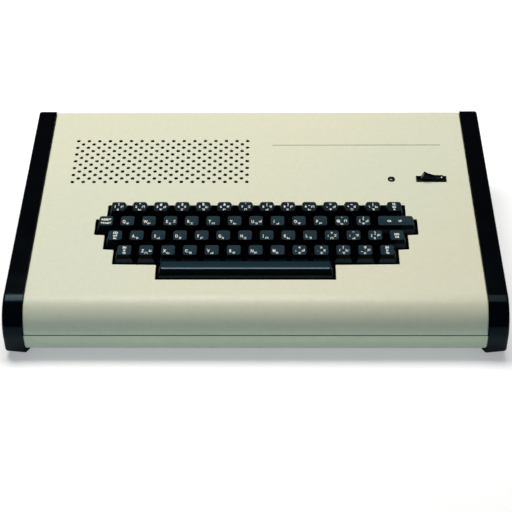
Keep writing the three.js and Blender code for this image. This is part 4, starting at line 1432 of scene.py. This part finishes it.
def legend_parts(name, width_share, number):
    """Every mark on one key."""
    if name in WORDS:
        return word_parts(WORDS[name], width_share)
    marks = []
    if name.isalpha():
        letter = printed_text(name.upper(), LETTER_SIZE, LETTER_SLIM)
        marks.append(laid_on_key(letter, width_share, *LETTER_PLACE))
        marks.append(laid_on_key(stroke_mark(number), width_share, *BESIDE_PLACE))
        if name in THIRD_MARKS:
            marks.append(laid_on_key(stroke_mark(number + 1), width_share, *THIRD_PLACE))
    else:
        texts = name + SHIFTED[name] if name else next(BARE_MARKS)
        for text, place in zip(texts, DIAMOND):
            marks.append(laid_on_key(printed_text(text, SMALL_SIZE, SMALL_SLIM), width_share, *place))
        for i, place in enumerate(DIAMOND[len(texts):]):
            marks.append(laid_on_key(stroke_mark(number * 3 + i), width_share, *place))
    return marks


def legend_ink():
    graph = Graph("legend ink")
    wear = graph.noise(WEAR_SPOT)
    tone = graph.mix(graph.ranged(wear, 0.4, 0.75), screen(244, 246, 238), screen(214, 220, 214))
    return graph.finish(Base_Color=tone, Roughness=graph.ranged(wear, 0.2, 0.8) * 0.2 + 0.45)


LEGEND_INK = legend_ink()
for number, key in enumerate(KEYS):
    if not is_bar(key.width_share):
        mesh = placed(joined(*legend_parts(key.name, key.width_share, number)), key.x, key.y)
        finish_piece(f"legend_{key.label}", mesh, [LEGEND_INK], key.body)
rule = box_on(*RULE_PLACE, *RULE_SIZE, -INK / 2, INK)
finish_piece("panel_rule", placed(rule, 0, 0), [PLASTIC["rule"]])

# %% [markdown]
# ## Power rocker
#
# The rocker is a profile drawn from the side and carried across its depth: two leaning ends, a hollow
# top, and a hub that turns in the housing. It rests with its left end up. A pale strip runs down that
# end: a painted highlight where that leaning face meets the lamp. A white dot marks the other end, and
# is moulded in. Both are small solids of their own, not colours on the rocker.

# %% Rocker
ROCKER_DEPTH = 4.6 * MM
PIVOT_DROP = 2.25 * MM
THROW = math.radians(28)
TIP_REACH = 9 * MM
TIP_RISE = 8 * MM
TOP_SAG = 1.5 * MM
ROCKER_FOOT = (10.5 * MM, 0.75 * MM)
HUB_RADIUS = 3.4 * MM
PIN_RADIUS = 1 * MM
PIN_LENGTH = 0.9 * MM
PIN_SIDES = 24
ROCKER_STEPS = 20
ROCKER_ROUND = 0.35 * MM
DOT_PLACE = 7.7 * MM
DOT_RADIUS = 0.8 * MM
DOT_FORWARD = 1 * MM
DOT_SIDES = 20
DOT_DOME = ((1, -0.3), (1, 0.05), (0.7, 0.15), (0.2, 0.2))  # share of the radius, millimetres up
# The pale strip down the rocker's left end is a painted highlight.
HIGHLIGHT_LENGTH_SHARES = (0.12, 0.9)  # of the left end, from its foot
HIGHLIGHT_DEPTH_SHARES = (-0.04, 0.3)  # of the rocker's depth
HIGHLIGHT_SINK = 0.3 * MM
SWITCH = PANEL @ Matrix.Translation((SWITCH_U, SWITCH_V, 0))
STANDING = Matrix.Rotation(QUARTER, 4, "X") @ Matrix.Rotation(-THROW / 2, 4, "Z")
ROCKER = SWITCH @ Matrix.Translation((0, 0, -PIVOT_DROP)) @ STANDING


def rocker_top(x):
    """Height of the rocker's hollow top over its pivot."""
    return TIP_RISE - TOP_SAG * (1 - (x / TIP_REACH) ** 2)


def rocker_profile(inset):
    """The rocker from the side, from its left tip, drawn in by an inset."""
    points = []
    for i in range(ROCKER_STEPS + 1):
        x = TIP_REACH * (2 * i / ROCKER_STEPS - 1)
        points.append(Vector((x, rocker_top(x))))
    points.append(Vector(ROCKER_FOOT))
    for i in range(ROCKER_STEPS + 1):
        a = -math.pi * i / ROCKER_STEPS
        points.append(Vector((HUB_RADIUS * math.cos(a), HUB_RADIUS * math.sin(a))))
    points.append(Vector((-ROCKER_FOOT[0], ROCKER_FOOT[1])))
    middle = Vector((0, TIP_RISE / 2))
    return [p + (middle - p).normalized() * inset for p in points]


def rocker_mesh():
    levels = [(-1, ROCKER_ROUND), (-1 + 2 * ROCKER_ROUND / ROCKER_DEPTH, 0)]
    levels += [(-share, inset) for share, inset in levels[::-1]]
    rings = []
    for share, inset in levels:
        z = share * ROCKER_DEPTH / 2
        rings.append([Vector((*p, z)) for p in rocker_profile(inset)])
    reach = ROCKER_DEPTH / 2 + PIN_LENGTH
    pin = turned([(PIN_RADIUS, -reach), (PIN_RADIUS, reach)], PIN_SIDES)
    return joined(loft(rings), pin)


def rocker_inlay():
    """The pale strip of painted highlight that runs down the left end."""
    foot = Vector((-ROCKER_FOOT[0], ROCKER_FOOT[1]))
    tip = Vector((-TIP_REACH, TIP_RISE))
    near, far = (share * ROCKER_DEPTH for share in HIGHLIGHT_DEPTH_SHARES)
    rings = []
    for share in HIGHLIGHT_LENGTH_SHARES:
        p = foot.lerp(tip, share)
        low, high = p.x - INK, p.x + HIGHLIGHT_SINK
        corners = ((low, near), (high, near), (high, far), (low, far))
        rings.append([Vector((x, p.y, z)) for x, z in corners])
    return loft(rings)


def rocker_dot():
    """The white dot near the right tip."""
    slope = math.atan2(2 * TOP_SAG * DOT_PLACE, TIP_REACH**2)
    lying = Matrix.Rotation(slope, 4, "Z") @ Matrix.Rotation(-QUARTER, 4, "X")
    spot = Matrix.Translation((DOT_PLACE, rocker_top(DOT_PLACE), DOT_FORWARD)) @ lying
    return turned([(share * DOT_RADIUS, z * MM) for share, z in DOT_DOME], DOT_SIDES, spot)


def moved(mesh, matrix):
    mesh.transform(matrix)
    return mesh


finish_piece(
    "rocker_body", moved(shade(rocker_mesh()), ROCKER), [PLASTIC["switch"]], "power_rocker",
    replaces=["power_rocker"],
)
# The pale strip is a painted highlight; the white dot is moulded in.
for name, mesh, material in (
    ("rocker_inlay", rocker_inlay(), PLASTIC["inlay"]),
    ("rocker_dot", rocker_dot(), LEGEND_INK),
):
    finish_piece(name, moved(shade(mesh), ROCKER), [material], "power_rocker")

# %% [markdown]
# ## Housing of the switch
#
# The rocker tips in a box under the panel, and a thin bezel round it covers the edge of the cut-out. The
# box is hollowed by a boolean to the room that the rocker sweeps, with a bore for its pin, and three
# tabs for wires stand under it.

# %% Switch housing
BEZEL = (28 * MM, 7 * MM)
BEZEL_HEIGHT = 1.2 * MM
BEZEL_EDGE = 0.5 * MM
BEZEL_STEPS = 4
SWITCH_BODY = (25.6 * MM, 6.6 * MM, 19 * MM)
TAB = (0.8 * MM, 4.8 * MM, 7 * MM)
TAB_PITCH = 8 * MM


def bezel_mesh(top):
    rings = [rounded_ring(*BEZEL, BEZEL_EDGE, BEZEL_STEPS, z=CLEARANCE)]
    for i in range(BEZEL_STEPS + 1):
        a = QUARTER * i / BEZEL_STEPS
        inset = BEZEL_EDGE * (1 - math.cos(a))
        size = (BEZEL[0] - 2 * inset, BEZEL[1] - 2 * inset)
        z = top - BEZEL_EDGE * (1 - math.sin(a))
        rings.append(rounded_ring(*size, BEZEL_EDGE, BEZEL_STEPS, z=z))
    return loft(rings)


def housing_mesh():
    top = CLEARANCE + BEZEL_HEIGHT
    width, depth, drop = SWITCH_BODY
    parts = [box_on(0, 0, width, depth, -drop, CLEARANCE + BEZEL_HEIGHT / 2)]
    for step in (-1, 0, 1):
        parts.append(box_on(step * TAB_PITCH, 0, TAB[0], TAB[1], -drop - TAB[2], -drop / 2))
    whole = combined(bezel_mesh(top), "UNION", *parts)
    cavity_width = 2 * (math.hypot(TIP_REACH, TIP_RISE) + CLEARANCE)
    floor_height = -PIVOT_DROP - HUB_RADIUS - 2 * CLEARANCE
    cavity = box_on(0, 0, cavity_width, ROCKER_DEPTH + 2 * CLEARANCE, floor_height, top + SHEET)
    reach = ROCKER_DEPTH / 2 + PIN_LENGTH + CLEARANCE
    across = Matrix.Translation((0, 0, -PIVOT_DROP)) @ Matrix.Rotation(QUARTER, 4, "X")
    radius = PIN_RADIUS + CLEARANCE
    hole = turned([(radius, -reach), (radius, reach)], PIN_SIDES, across)
    return combined(whole, "DIFFERENCE", cavity, hole)


housing = moved(shade(housing_mesh()), SWITCH)
finish_piece(
    "switch_housing", housing, [PLASTIC["switch"]], replaces=["rocker_housing"]
)

# %% [markdown]
# ## Power lamp
#
# A dark ring round a low amber lens. The lamp is off, so the lens is nearly black, with one bright
# point where the overhead lamp reflects in its dome.

# %% Lamp
LAMP_BODY = 2.5 * MM
LAMP_LENGTH = 13 * MM
LAMP_FLANGE = 3.4 * MM
LAMP_FLANGE_HEIGHT = 0.5 * MM
LENS_RADIUS = 2.2 * MM
LENS_RISE = 0.35 * MM
LENS_SEAT = 0.2 * MM
LENS_STEPS = 8
LENS_CLOUD = 1.5 * MM
NECK_RISE = 0.1 * MM
LAMP_SIDES = 48
RING_OUTSIDE = ((0, 0.3), (0.15, 0.08), (0.4, 0))  # millimetres in from the edge, down from the face
RING_INSIDE = ((0.3, 0), (0.05, 0.2))  # millimetres out from the lens, down from the face
flange_top = CLEARANCE + LAMP_FLANGE_HEIGHT
lens_foot = flange_top - LENS_SEAT
ring_profile = [(LENS_RADIUS, CLEARANCE), (LAMP_FLANGE, CLEARANCE)]
ring_profile += [(LAMP_FLANGE - x * MM, flange_top - drop * MM) for x, drop in RING_OUTSIDE]
ring_profile += [(LENS_RADIUS + x * MM, flange_top - drop * MM) for x, drop in RING_INSIDE]
lens_profile = [(LAMP_BODY, -LAMP_LENGTH), (LAMP_BODY, CLEARANCE + NECK_RISE), (LENS_RADIUS, lens_foot)]
for i in range(1, LENS_STEPS):
    a = QUARTER * i / LENS_STEPS
    height = lens_foot + (LENS_RISE + LENS_SEAT) * math.sin(a)
    lens_profile.append((LENS_RADIUS * math.cos(a), height))
LAMP = PANEL @ Matrix.Translation((LAMP_U, LAMP_V, 0))


def amber_lens():
    graph = Graph("amber lens")
    cloud = graph.noise(LENS_CLOUD)
    tone = graph.mix(cloud, screen(26, 20, 14), screen(58, 44, 30))
    roughness = graph.ranged(cloud, 0.2, 0.8) * 0.05 + 0.1
    return graph.finish(Base_Color=tone, Roughness=roughness, Coat_Weight=0.5)


finish_piece(
    "lamp_lens", shade(turned(lens_profile, LAMP_SIDES, LAMP)), [amber_lens()],
    replaces=["power_lamp"],
)
lamp_ring = shade(turned(ring_profile, LAMP_SIDES, LAMP))
finish_piece("lamp_ring", lamp_ring, [PLASTIC["switch"]])

# %% [markdown]
# ## Loudspeaker
#
# A black sheet under the punched holes is painted shade: it makes the holes look black. The loudspeaker
# hangs behind it. The turned profile runs up the basket, over the rim and down the rippled cone to the
# dust cap.

# %% Loudspeaker
CLOTH_THICKNESS = 0.2 * MM
CLOTH_MARGIN = 6 * MM
CLOTH_CORNER = 3 * MM
CLOTH_STEPS = 5
CLOTH_LIFT = CLEARANCE / 6
SPEAKER_RADIUS = 33 * MM
SPEAKER_RIM = 3 * MM
RIM_HEIGHT = 2.2 * MM
CONE_DEPTH = 11 * MM
THROAT = 11 * MM
BASKET = 2 * MM
MAGNET_RADIUS = 18 * MM
MAGNET_HEIGHT = 10 * MM
MAGNET_EDGE = 1 * MM
RIM_EDGE = 0.3 * MM
CAP_RISE = 3 * MM
CAP_STEPS = 7
CONE_RIPPLES = 5
CONE_STEPS = 40
RIPPLE = 0.25 * MM
CONE_BEND = 0.9  # power of the way inwards; 1 makes a straight cone
SPEAKER_SIDES = 72
FIBRE = 1.4 * MM
FIBRE_RELIEF = 0.06 * MM
speaker_bottom = -CONE_DEPTH - BASKET - MAGNET_HEIGHT
speaker_profile = [
    (MAGNET_EDGE, speaker_bottom),
    (MAGNET_RADIUS - MAGNET_EDGE, speaker_bottom),
    (MAGNET_RADIUS, speaker_bottom + MAGNET_EDGE),
    (MAGNET_RADIUS, speaker_bottom + MAGNET_HEIGHT),
    (SPEAKER_RADIUS - SPEAKER_RIM, -RIM_HEIGHT),
    (SPEAKER_RADIUS, -RIM_HEIGHT),
    (SPEAKER_RADIUS, -RIM_EDGE),
    (SPEAKER_RADIUS - RIM_EDGE, 0),
]
for i in range(CONE_STEPS + 1):
    t = i / CONE_STEPS
    radius = SPEAKER_RADIUS - SPEAKER_RIM + (THROAT - SPEAKER_RADIUS + SPEAKER_RIM) * t
    dip = RIPPLE * (1 - math.cos(FULL_TURN * CONE_RIPPLES * t)) / 2
    speaker_profile.append((radius, -CONE_DEPTH * t**CONE_BEND - dip))
for i in range(1, CAP_STEPS):
    a = QUARTER * i / CAP_STEPS
    speaker_profile.append((THROAT * math.cos(a), -CONE_DEPTH + CAP_RISE * math.sin(a)))
speaker_u = -COVER_RIGHT + GRILLE_INSET + (GRILLE_COLUMNS - 1) / 2 * HOLE_PITCH_U
speaker_v = GRILLE_FRONT + (GRILLE_ROWS - 1) / 2 * HOLE_PITCH_V
SPEAKER = PANEL @ Matrix.Translation((speaker_u, speaker_v, -SHEET - CLEARANCE))


def speaker_paper():
    graph = Graph("speaker paper")
    fibre = graph.noise(FIBRE, 4.0)
    tone = graph.mix(fibre, screen(26, 25, 24), screen(44, 42, 40))
    return graph.finish(
        Base_Color=tone, Roughness=graph.ranged(fibre, 0.2, 0.8) * 0.1 + 0.85,
        Normal=graph.bump(fibre, FIBRE_RELIEF), Specular_IOR_Level=0.1,
    )


def grille_cloth():
    """A thin dark sheet of painted shade under all the holes."""
    width = (GRILLE_COLUMNS - 1) * HOLE_PITCH_U + 2 * CLOTH_MARGIN
    depth = (GRILLE_ROWS - 1) * HOLE_PITCH_V + 2 * CLOTH_MARGIN
    heights = (CLOTH_LIFT, CLOTH_LIFT + CLOTH_THICKNESS)
    return loft([rounded_ring(width, depth, CLOTH_CORNER, CLOTH_STEPS, z=z) for z in heights], SPEAKER)


# Painted shade: a black sheet that makes the grille's holes look black.
finish_piece("grille_cloth", grille_cloth(), [PLASTIC["frame"]])
finish_piece(
    "speaker_cone", shade(turned(speaker_profile, SPEAKER_SIDES, SPEAKER)), [speaker_paper()],
    replaces=["loudspeaker"],
)

# %% [markdown]
# ## Recessed sockets at the back
#
# The back has its own frame too: x to the right as seen from the front, y down and z out of the case.
# The panel with its cooling slots keeps its shape from the engineering model. The mains inlet and the
# expansion slot are both a box with a flange, hollowed to its mouth, so one function makes them from
# two rows of sizes.

# %% Recessed sockets
REAR_HEIGHT = 37 * MM
REAR = Matrix.Translation((0, REAR_FACE, REAR_HEIGHT)) @ Matrix.Rotation(-QUARTER, 4, "X")
FLANGE_PLATE = 1.6 * MM
FLANGE_EDGE = 0.3 * MM
FLANGE_TAPER = 0.5 * MM
SOCKET_FACE = CLEARANCE + FLANGE_PLATE
SHELLS = {
    "mains_inlet": dict(
        x=160 * MM, size=(24 * MM, 16.5 * MM), corner=2 * MM, depth=15 * MM, wall=2.2 * MM, flange=4 * MM
    ),
    "expansion_connector": dict(
        x=0, size=(62 * MM, 9 * MM), corner=1 * MM, depth=9 * MM, wall=2 * MM, flange=5 * MM
    ),
}
SOCKET_STEPS = 5


def flange_plate(size, corner):
    """The plate round a socket's mouth, a little smaller at its outer face."""
    face = [edge - FLANGE_TAPER for edge in size]
    rings = ((size, CLEARANCE), (size, SOCKET_FACE - FLANGE_EDGE), (face, SOCKET_FACE))
    return loft([rounded_ring(*edges, corner, SOCKET_STEPS, z=z) for edges, z in rings])


def socket_shell(x, size, corner, depth, wall, flange):
    """A recessed shell with a flange, open to the back."""
    outer = [edge + 2 * wall for edge in size]
    plate = flange_plate([edge + 2 * flange for edge in outer], corner)
    body, recess = (
        loft([rounded_ring(*edges, corner, SOCKET_STEPS, z=z) for z in heights])
        for edges, heights in (
            (outer, (SOCKET_FACE - depth - wall, SOCKET_FACE)),
            (size, (SOCKET_FACE - depth, SOCKET_FACE + SHEET)),
        )
    )
    shell = combined(combined(body, "UNION", plate), "DIFFERENCE", recess)
    return moved(shell, REAR @ Matrix.Translation((x, 0, 0)))


for name, values in SHELLS.items():
    shell = shade(socket_shell(**values))
    finish_piece(f"{name}_shell", shell, [PLASTIC["cheek"]], replaces=[name])

# %% [markdown]
# ## Round sockets
#
# The video and cassette sockets take a round plug: a shield goes into the groove, and five pins go into
# a half ring of holes. The holes are cut and not painted, since they show their depth in any light.

# %% Round sockets
SOCKETS = {"video_socket": 92 * MM, "cassette_socket": 60 * MM}
SOCKET_RADIUS = 8 * MM
SOCKET_DEPTH = 14 * MM
SOCKET_FLANGE = (24 * MM, 22 * MM)
SOCKET_CORNER = 2 * MM
SOCKET_SIDES = 48
GROOVE = (6.9 * MM, 5.7 * MM, 6 * MM)
PIN_RING = 3.6 * MM
PIN_HOLE = 0.8 * MM
PIN_HOLES = 5
PIN_HOLE_SIDES = 16


def round_socket(x):
    """A round socket with five holes in a half ring, inside a groove for the plug's shield."""
    outer, inner, depth = GROOVE
    low, ends = SOCKET_FACE - SOCKET_DEPTH, (SOCKET_FACE - depth, SOCKET_FACE + SHEET)
    body = loft([round_ring(SOCKET_RADIUS, SOCKET_SIDES, z=z) for z in (low, SOCKET_FACE)])
    groove = loft([round_ring(outer, SOCKET_SIDES, z=z) for z in ends])
    core = loft([round_ring(inner, SOCKET_SIDES, z=z) for z in (low, SOCKET_FACE + 2 * SHEET)])
    cuts = [combined(groove, "DIFFERENCE", core)]
    for i in range(PIN_HOLES):
        a = math.pi * i / (PIN_HOLES - 1)
        place = (PIN_RING * math.cos(a), PIN_RING * math.sin(a))
        cuts.append(loft([round_ring(PIN_HOLE, PIN_HOLE_SIDES, *place, z) for z in ends]))
    plate = flange_plate(SOCKET_FLANGE, SOCKET_CORNER)
    whole = combined(combined(body, "UNION", plate), "DIFFERENCE", *cuts)
    return moved(whole, REAR @ Matrix.Translation((x, 0, 0)))


for name, x in SOCKETS.items():
    socket = shade(round_socket(x))
    finish_piece(f"{name}_body", socket, [PLASTIC["cheek"]], replaces=[name])

# %% [markdown]
# ## Pins and contacts
#
# What a plug meets is metal: three prongs in the inlet and two rows of contacts in the expansion slot.
# Both are lists of places with a block at each. The brass is a metal whose roughness drifts a little,
# as plating does after years in air.

# %% Pins and contacts
PIN_ROOT = 1 * MM
PRONG_PLACES = ((-7 * MM, 2 * MM), (7 * MM, 2 * MM), (0, -2.6 * MM))
PRONG_SIZE = (2 * MM, 4 * MM)
PRONG_SETBACK = 3 * MM
CONTACT_PITCH = 2.54 * MM
CONTACT_ROW = 3.6 * MM
CONTACTS_EACH_WAY = 11
CONTACT_SIZE = (1.2 * MM, 0.8 * MM)
CONTACT_SETBACK = 1.5 * MM
HAZE_SIZE = 3 * MM


def pins(places, size, low, high):
    """Metal pins that stand in a socket."""
    return [box_on(x, y, *size, low, high) for x, y in places]


def plated_metal(name, colour, roughness):
    graph = Graph(name)
    haze = graph.noise(HAZE_SIZE, 3.0)
    return graph.finish(
        Base_Color=graph.mix(haze, colour, screen(150, 152, 152)),
        Metallic=1.0, Roughness=graph.ranged(haze, 0.3, 0.7) * 0.15 + roughness,
    )


BRASS = plated_metal("pin brass", screen(206, 190, 140), 0.25)
inlet, expansion = SHELLS["mains_inlet"], SHELLS["expansion_connector"]
pin_floor = SOCKET_FACE - inlet["depth"] - PIN_ROOT
prongs = pins(PRONG_PLACES, PRONG_SIZE, pin_floor, SOCKET_FACE - PRONG_SETBACK)
inlet_pins = moved(joined(*prongs), REAR @ Matrix.Translation((inlet["x"], 0, 0)))
finish_piece("inlet_pins", inlet_pins, [BRASS])
contact_floor = SOCKET_FACE - expansion["depth"] - PIN_ROOT
columns = range(-CONTACTS_EACH_WAY, CONTACTS_EACH_WAY + 1)
contacts = [(i * CONTACT_PITCH, side * CONTACT_ROW) for side in (-1, 1) for i in columns]
strips = pins(contacts, CONTACT_SIZE, contact_floor, SOCKET_FACE - CONTACT_SETBACK)
finish_piece("expansion_contacts", moved(joined(*strips), REAR), [BRASS])

# %% [markdown]
# ## Screws at the back
#
# Zinc screws hold the rear panel and the expansion slot. One head is turned and slotted, and the others
# are copies of it. They are one piece, because none of them moves.

# %% Rear screws
SCREW_HEAD = 2.6 * MM
SCREW_SIDES = 32
SCREW_DOME = ((1, 0), (1, 0.5), (0.85, 1.1), (0.5, 1.5), (0.1, 1.6))  # share of the radius, millimetres
SCREW_SLOT = (3.2 * MM, 0.6 * MM)
SLOT_FLOOR = 0.8 * MM
SCREW_DROP = 17 * MM
SCREW_COLUMNS = (-180 * MM, -60 * MM, 60 * MM, 180 * MM)
ZINC = plated_metal("zinc plate", screen(188, 190, 188), 0.35)


def screw_head():
    dome = [(share * SCREW_HEAD, z * MM) for share, z in SCREW_DOME]
    slots = [box_on(0, 0, *size, SLOT_FLOOR, SHEET) for size in (SCREW_SLOT, SCREW_SLOT[::-1])]
    return combined(turned(dome, SCREW_SIDES), "DIFFERENCE", *slots)


head = screw_head()
screw_places = [(x, SCREW_DROP, 0) for x in SCREW_COLUMNS]
reach = expansion["size"][0] / 2 + expansion["wall"] + expansion["flange"] / 2
screw_places += [(side * reach, 0, SOCKET_FACE - CLEARANCE / 2) for side in (-1, 1)]
screws = []
for x, y, height in screw_places:
    screws.append(moved(head.copy(), REAR @ Matrix.Translation((x, y, height))))
finish_piece("rear_screws", shade(joined(*screws)), [ZINC])

# %% [markdown]
# ## Inside
#
# The circuit board and the transformer keep their shapes and get finishes. Height alone tells the
# chips from the board, and depth tells the coil from the iron, so one material serves each.

# %% Inside
STANDOFF = 5 * MM
BOARD = 1.6 * MM
BOARD_FACE = TRAY_FLOOR + STANDOFF + CLEARANCE + BOARD
CHIP_STEP = 0.2 * MM
TRACK_SIZE = 4 * MM
TRACK_STRETCH = (1, 6, 1)
TRACK_RELIEF = 0.04 * MM
PLATE_SIZE = 0.8 * MM
PLATE_STRETCH = (0.05, 1, 0.05)
core_low, core_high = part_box("power_transformer")
CORE_MIDDLE = (core_low.y + core_high.y) / 2
CORE_REACH = 12.4 * MM


def board_finish():
    graph = Graph("circuit board")
    height = graph.node("ShaderNodeSeparateXYZ", {}, {"Vector": graph.place()}, "Z")
    tracks = graph.noise(TRACK_SIZE, 1.0, TRACK_STRETCH)
    green = graph.mix(graph.ranged(tracks, 0.48, 0.52), screen(26, 84, 52), screen(42, 112, 70))
    on_chip = height > BOARD_FACE + CHIP_STEP
    return graph.finish(
        Base_Color=graph.mix(on_chip, green, screen(24, 24, 26)),
        Roughness=on_chip * 0.25 + 0.35,
        Normal=graph.bump(tracks, TRACK_RELIEF),
    )


def transformer_finish():
    graph = Graph("transformer")
    across = graph.node("ShaderNodeSeparateXYZ", {}, {"Vector": graph.place()}, "Y") - CORE_MIDDLE
    away = graph.node("ShaderNodeMath", {"operation": "ABSOLUTE"}, {0: across})
    plates = graph.noise(PLATE_SIZE, 1.0, PLATE_STRETCH)
    iron = graph.mix(plates, screen(120, 122, 122), screen(176, 178, 178))
    on_coil = away > CORE_REACH
    return graph.finish(
        Base_Color=graph.mix(on_coil, iron, screen(168, 132, 72)),
        Metallic=on_coil * -0.8 + 0.8,
        Roughness=on_coil * 0.2 + 0.45,
    )


for node, material in (
    ("rear_panel", CREAM),
    ("main_circuit_board", board_finish()),
    ("power_transformer", transformer_finish()),
):
    for material_slot in frame["nodes"][node].material_slots:
        material_slot.material = material

# %% [markdown]
# ## Floor
#
# The floor of the photograph is a pale sheet without an edge. A large plane stands for it. It looks
# white to the camera and in reflections, but bounces less light than it shows, or it would fill the
# shade on the case's front.

# %% Floor
FLOOR_SHOWN = (0.9, 0.9, 0.9, 1)
FLOOR_BOUNCE = (0.8, 0.98, 1, 1)
FLOOR_GLOW = (0.34, 0.34, 0.34, 1)
FLOOR_REACH = 20


def floor_finish():
    graph = Graph("floor")
    rays = ("Is Camera Ray", "Is Glossy Ray", "Is Transmission Ray")
    seen = sum(graph.node("ShaderNodeLightPath", {}, {}, ray) for ray in rays)
    return graph.finish(
        Base_Color=graph.mix(seen, FLOOR_BOUNCE, FLOOR_SHOWN),
        Emission_Color=graph.mix(seen, (0, 0, 0, 1), FLOOR_GLOW),
        Emission_Strength=1.0,
        Roughness=0.9,
        Specular_IOR_Level=0.0,
    )


floor_mesh = mesh_from(
    [(x * FLOOR_REACH, y * FLOOR_REACH, 0) for x, y in ((-1, -1), (1, -1), (1, 1), (-1, 1))],
    [(0, 1, 2, 3)],
)
floor_mesh.materials.append(floor_finish())
floor = bpy.data.objects.new("floor", floor_mesh)
bpy.context.scene.collection.objects.link(floor)

# %% [markdown]
# ## Lamps and world
#
# The photograph is a product shot: one wide lamp above and a little behind, a weak one to its right, and
# a dim room. The wide lamp gives the black plastic its band of light where the nose turns, and leaves
# the front in shade. A sphere picture of a studio would light it too, but could not be tuned so far.

# %% Lamps and world
WORLD_BACK = (0.05, 0.06, 0.075, 1)
WORLD_FRONT = (0.06, 0.1, 0.14, 1)
LIGHT_COLOUR = (1.0, 0.965, 0.92)
LIGHTS = (  # name, power, place, width and depth
    ("overhead", 23.4, (-0.25, 0.4, 1.5), (1.2, 0.7)),
    ("side", 2.8, (0.55, 0.3, 1.5), (0.6, 0.75)),
)


def studio_world():
    """Dim behind the object, cooler and a little brighter behind the camera."""
    graph = Graph("world", bpy.data.worlds, "Background")
    direction = graph.node("ShaderNodeTexCoord", {}, {}, "Generated")
    to_back = graph.node("ShaderNodeSeparateXYZ", {}, {"Vector": direction}, "Y")
    return graph.finish(Color=graph.mix(graph.ranged(to_back, -0.5, 0.3), WORLD_FRONT, WORLD_BACK))


bpy.context.scene.world = studio_world()
for name, power, place, (width, depth) in LIGHTS:
    light_data = bpy.data.lights.new(name, "AREA")
    light_data.energy = power
    light_data.color = LIGHT_COLOUR
    light_data.shape = "RECTANGLE"
    light_data.size = width
    light_data.size_y = depth
    light = bpy.data.objects.new(name, light_data)
    light.location = place
    bpy.context.scene.collection.objects.link(light)
    print(f"{name} lamp: {power} W")
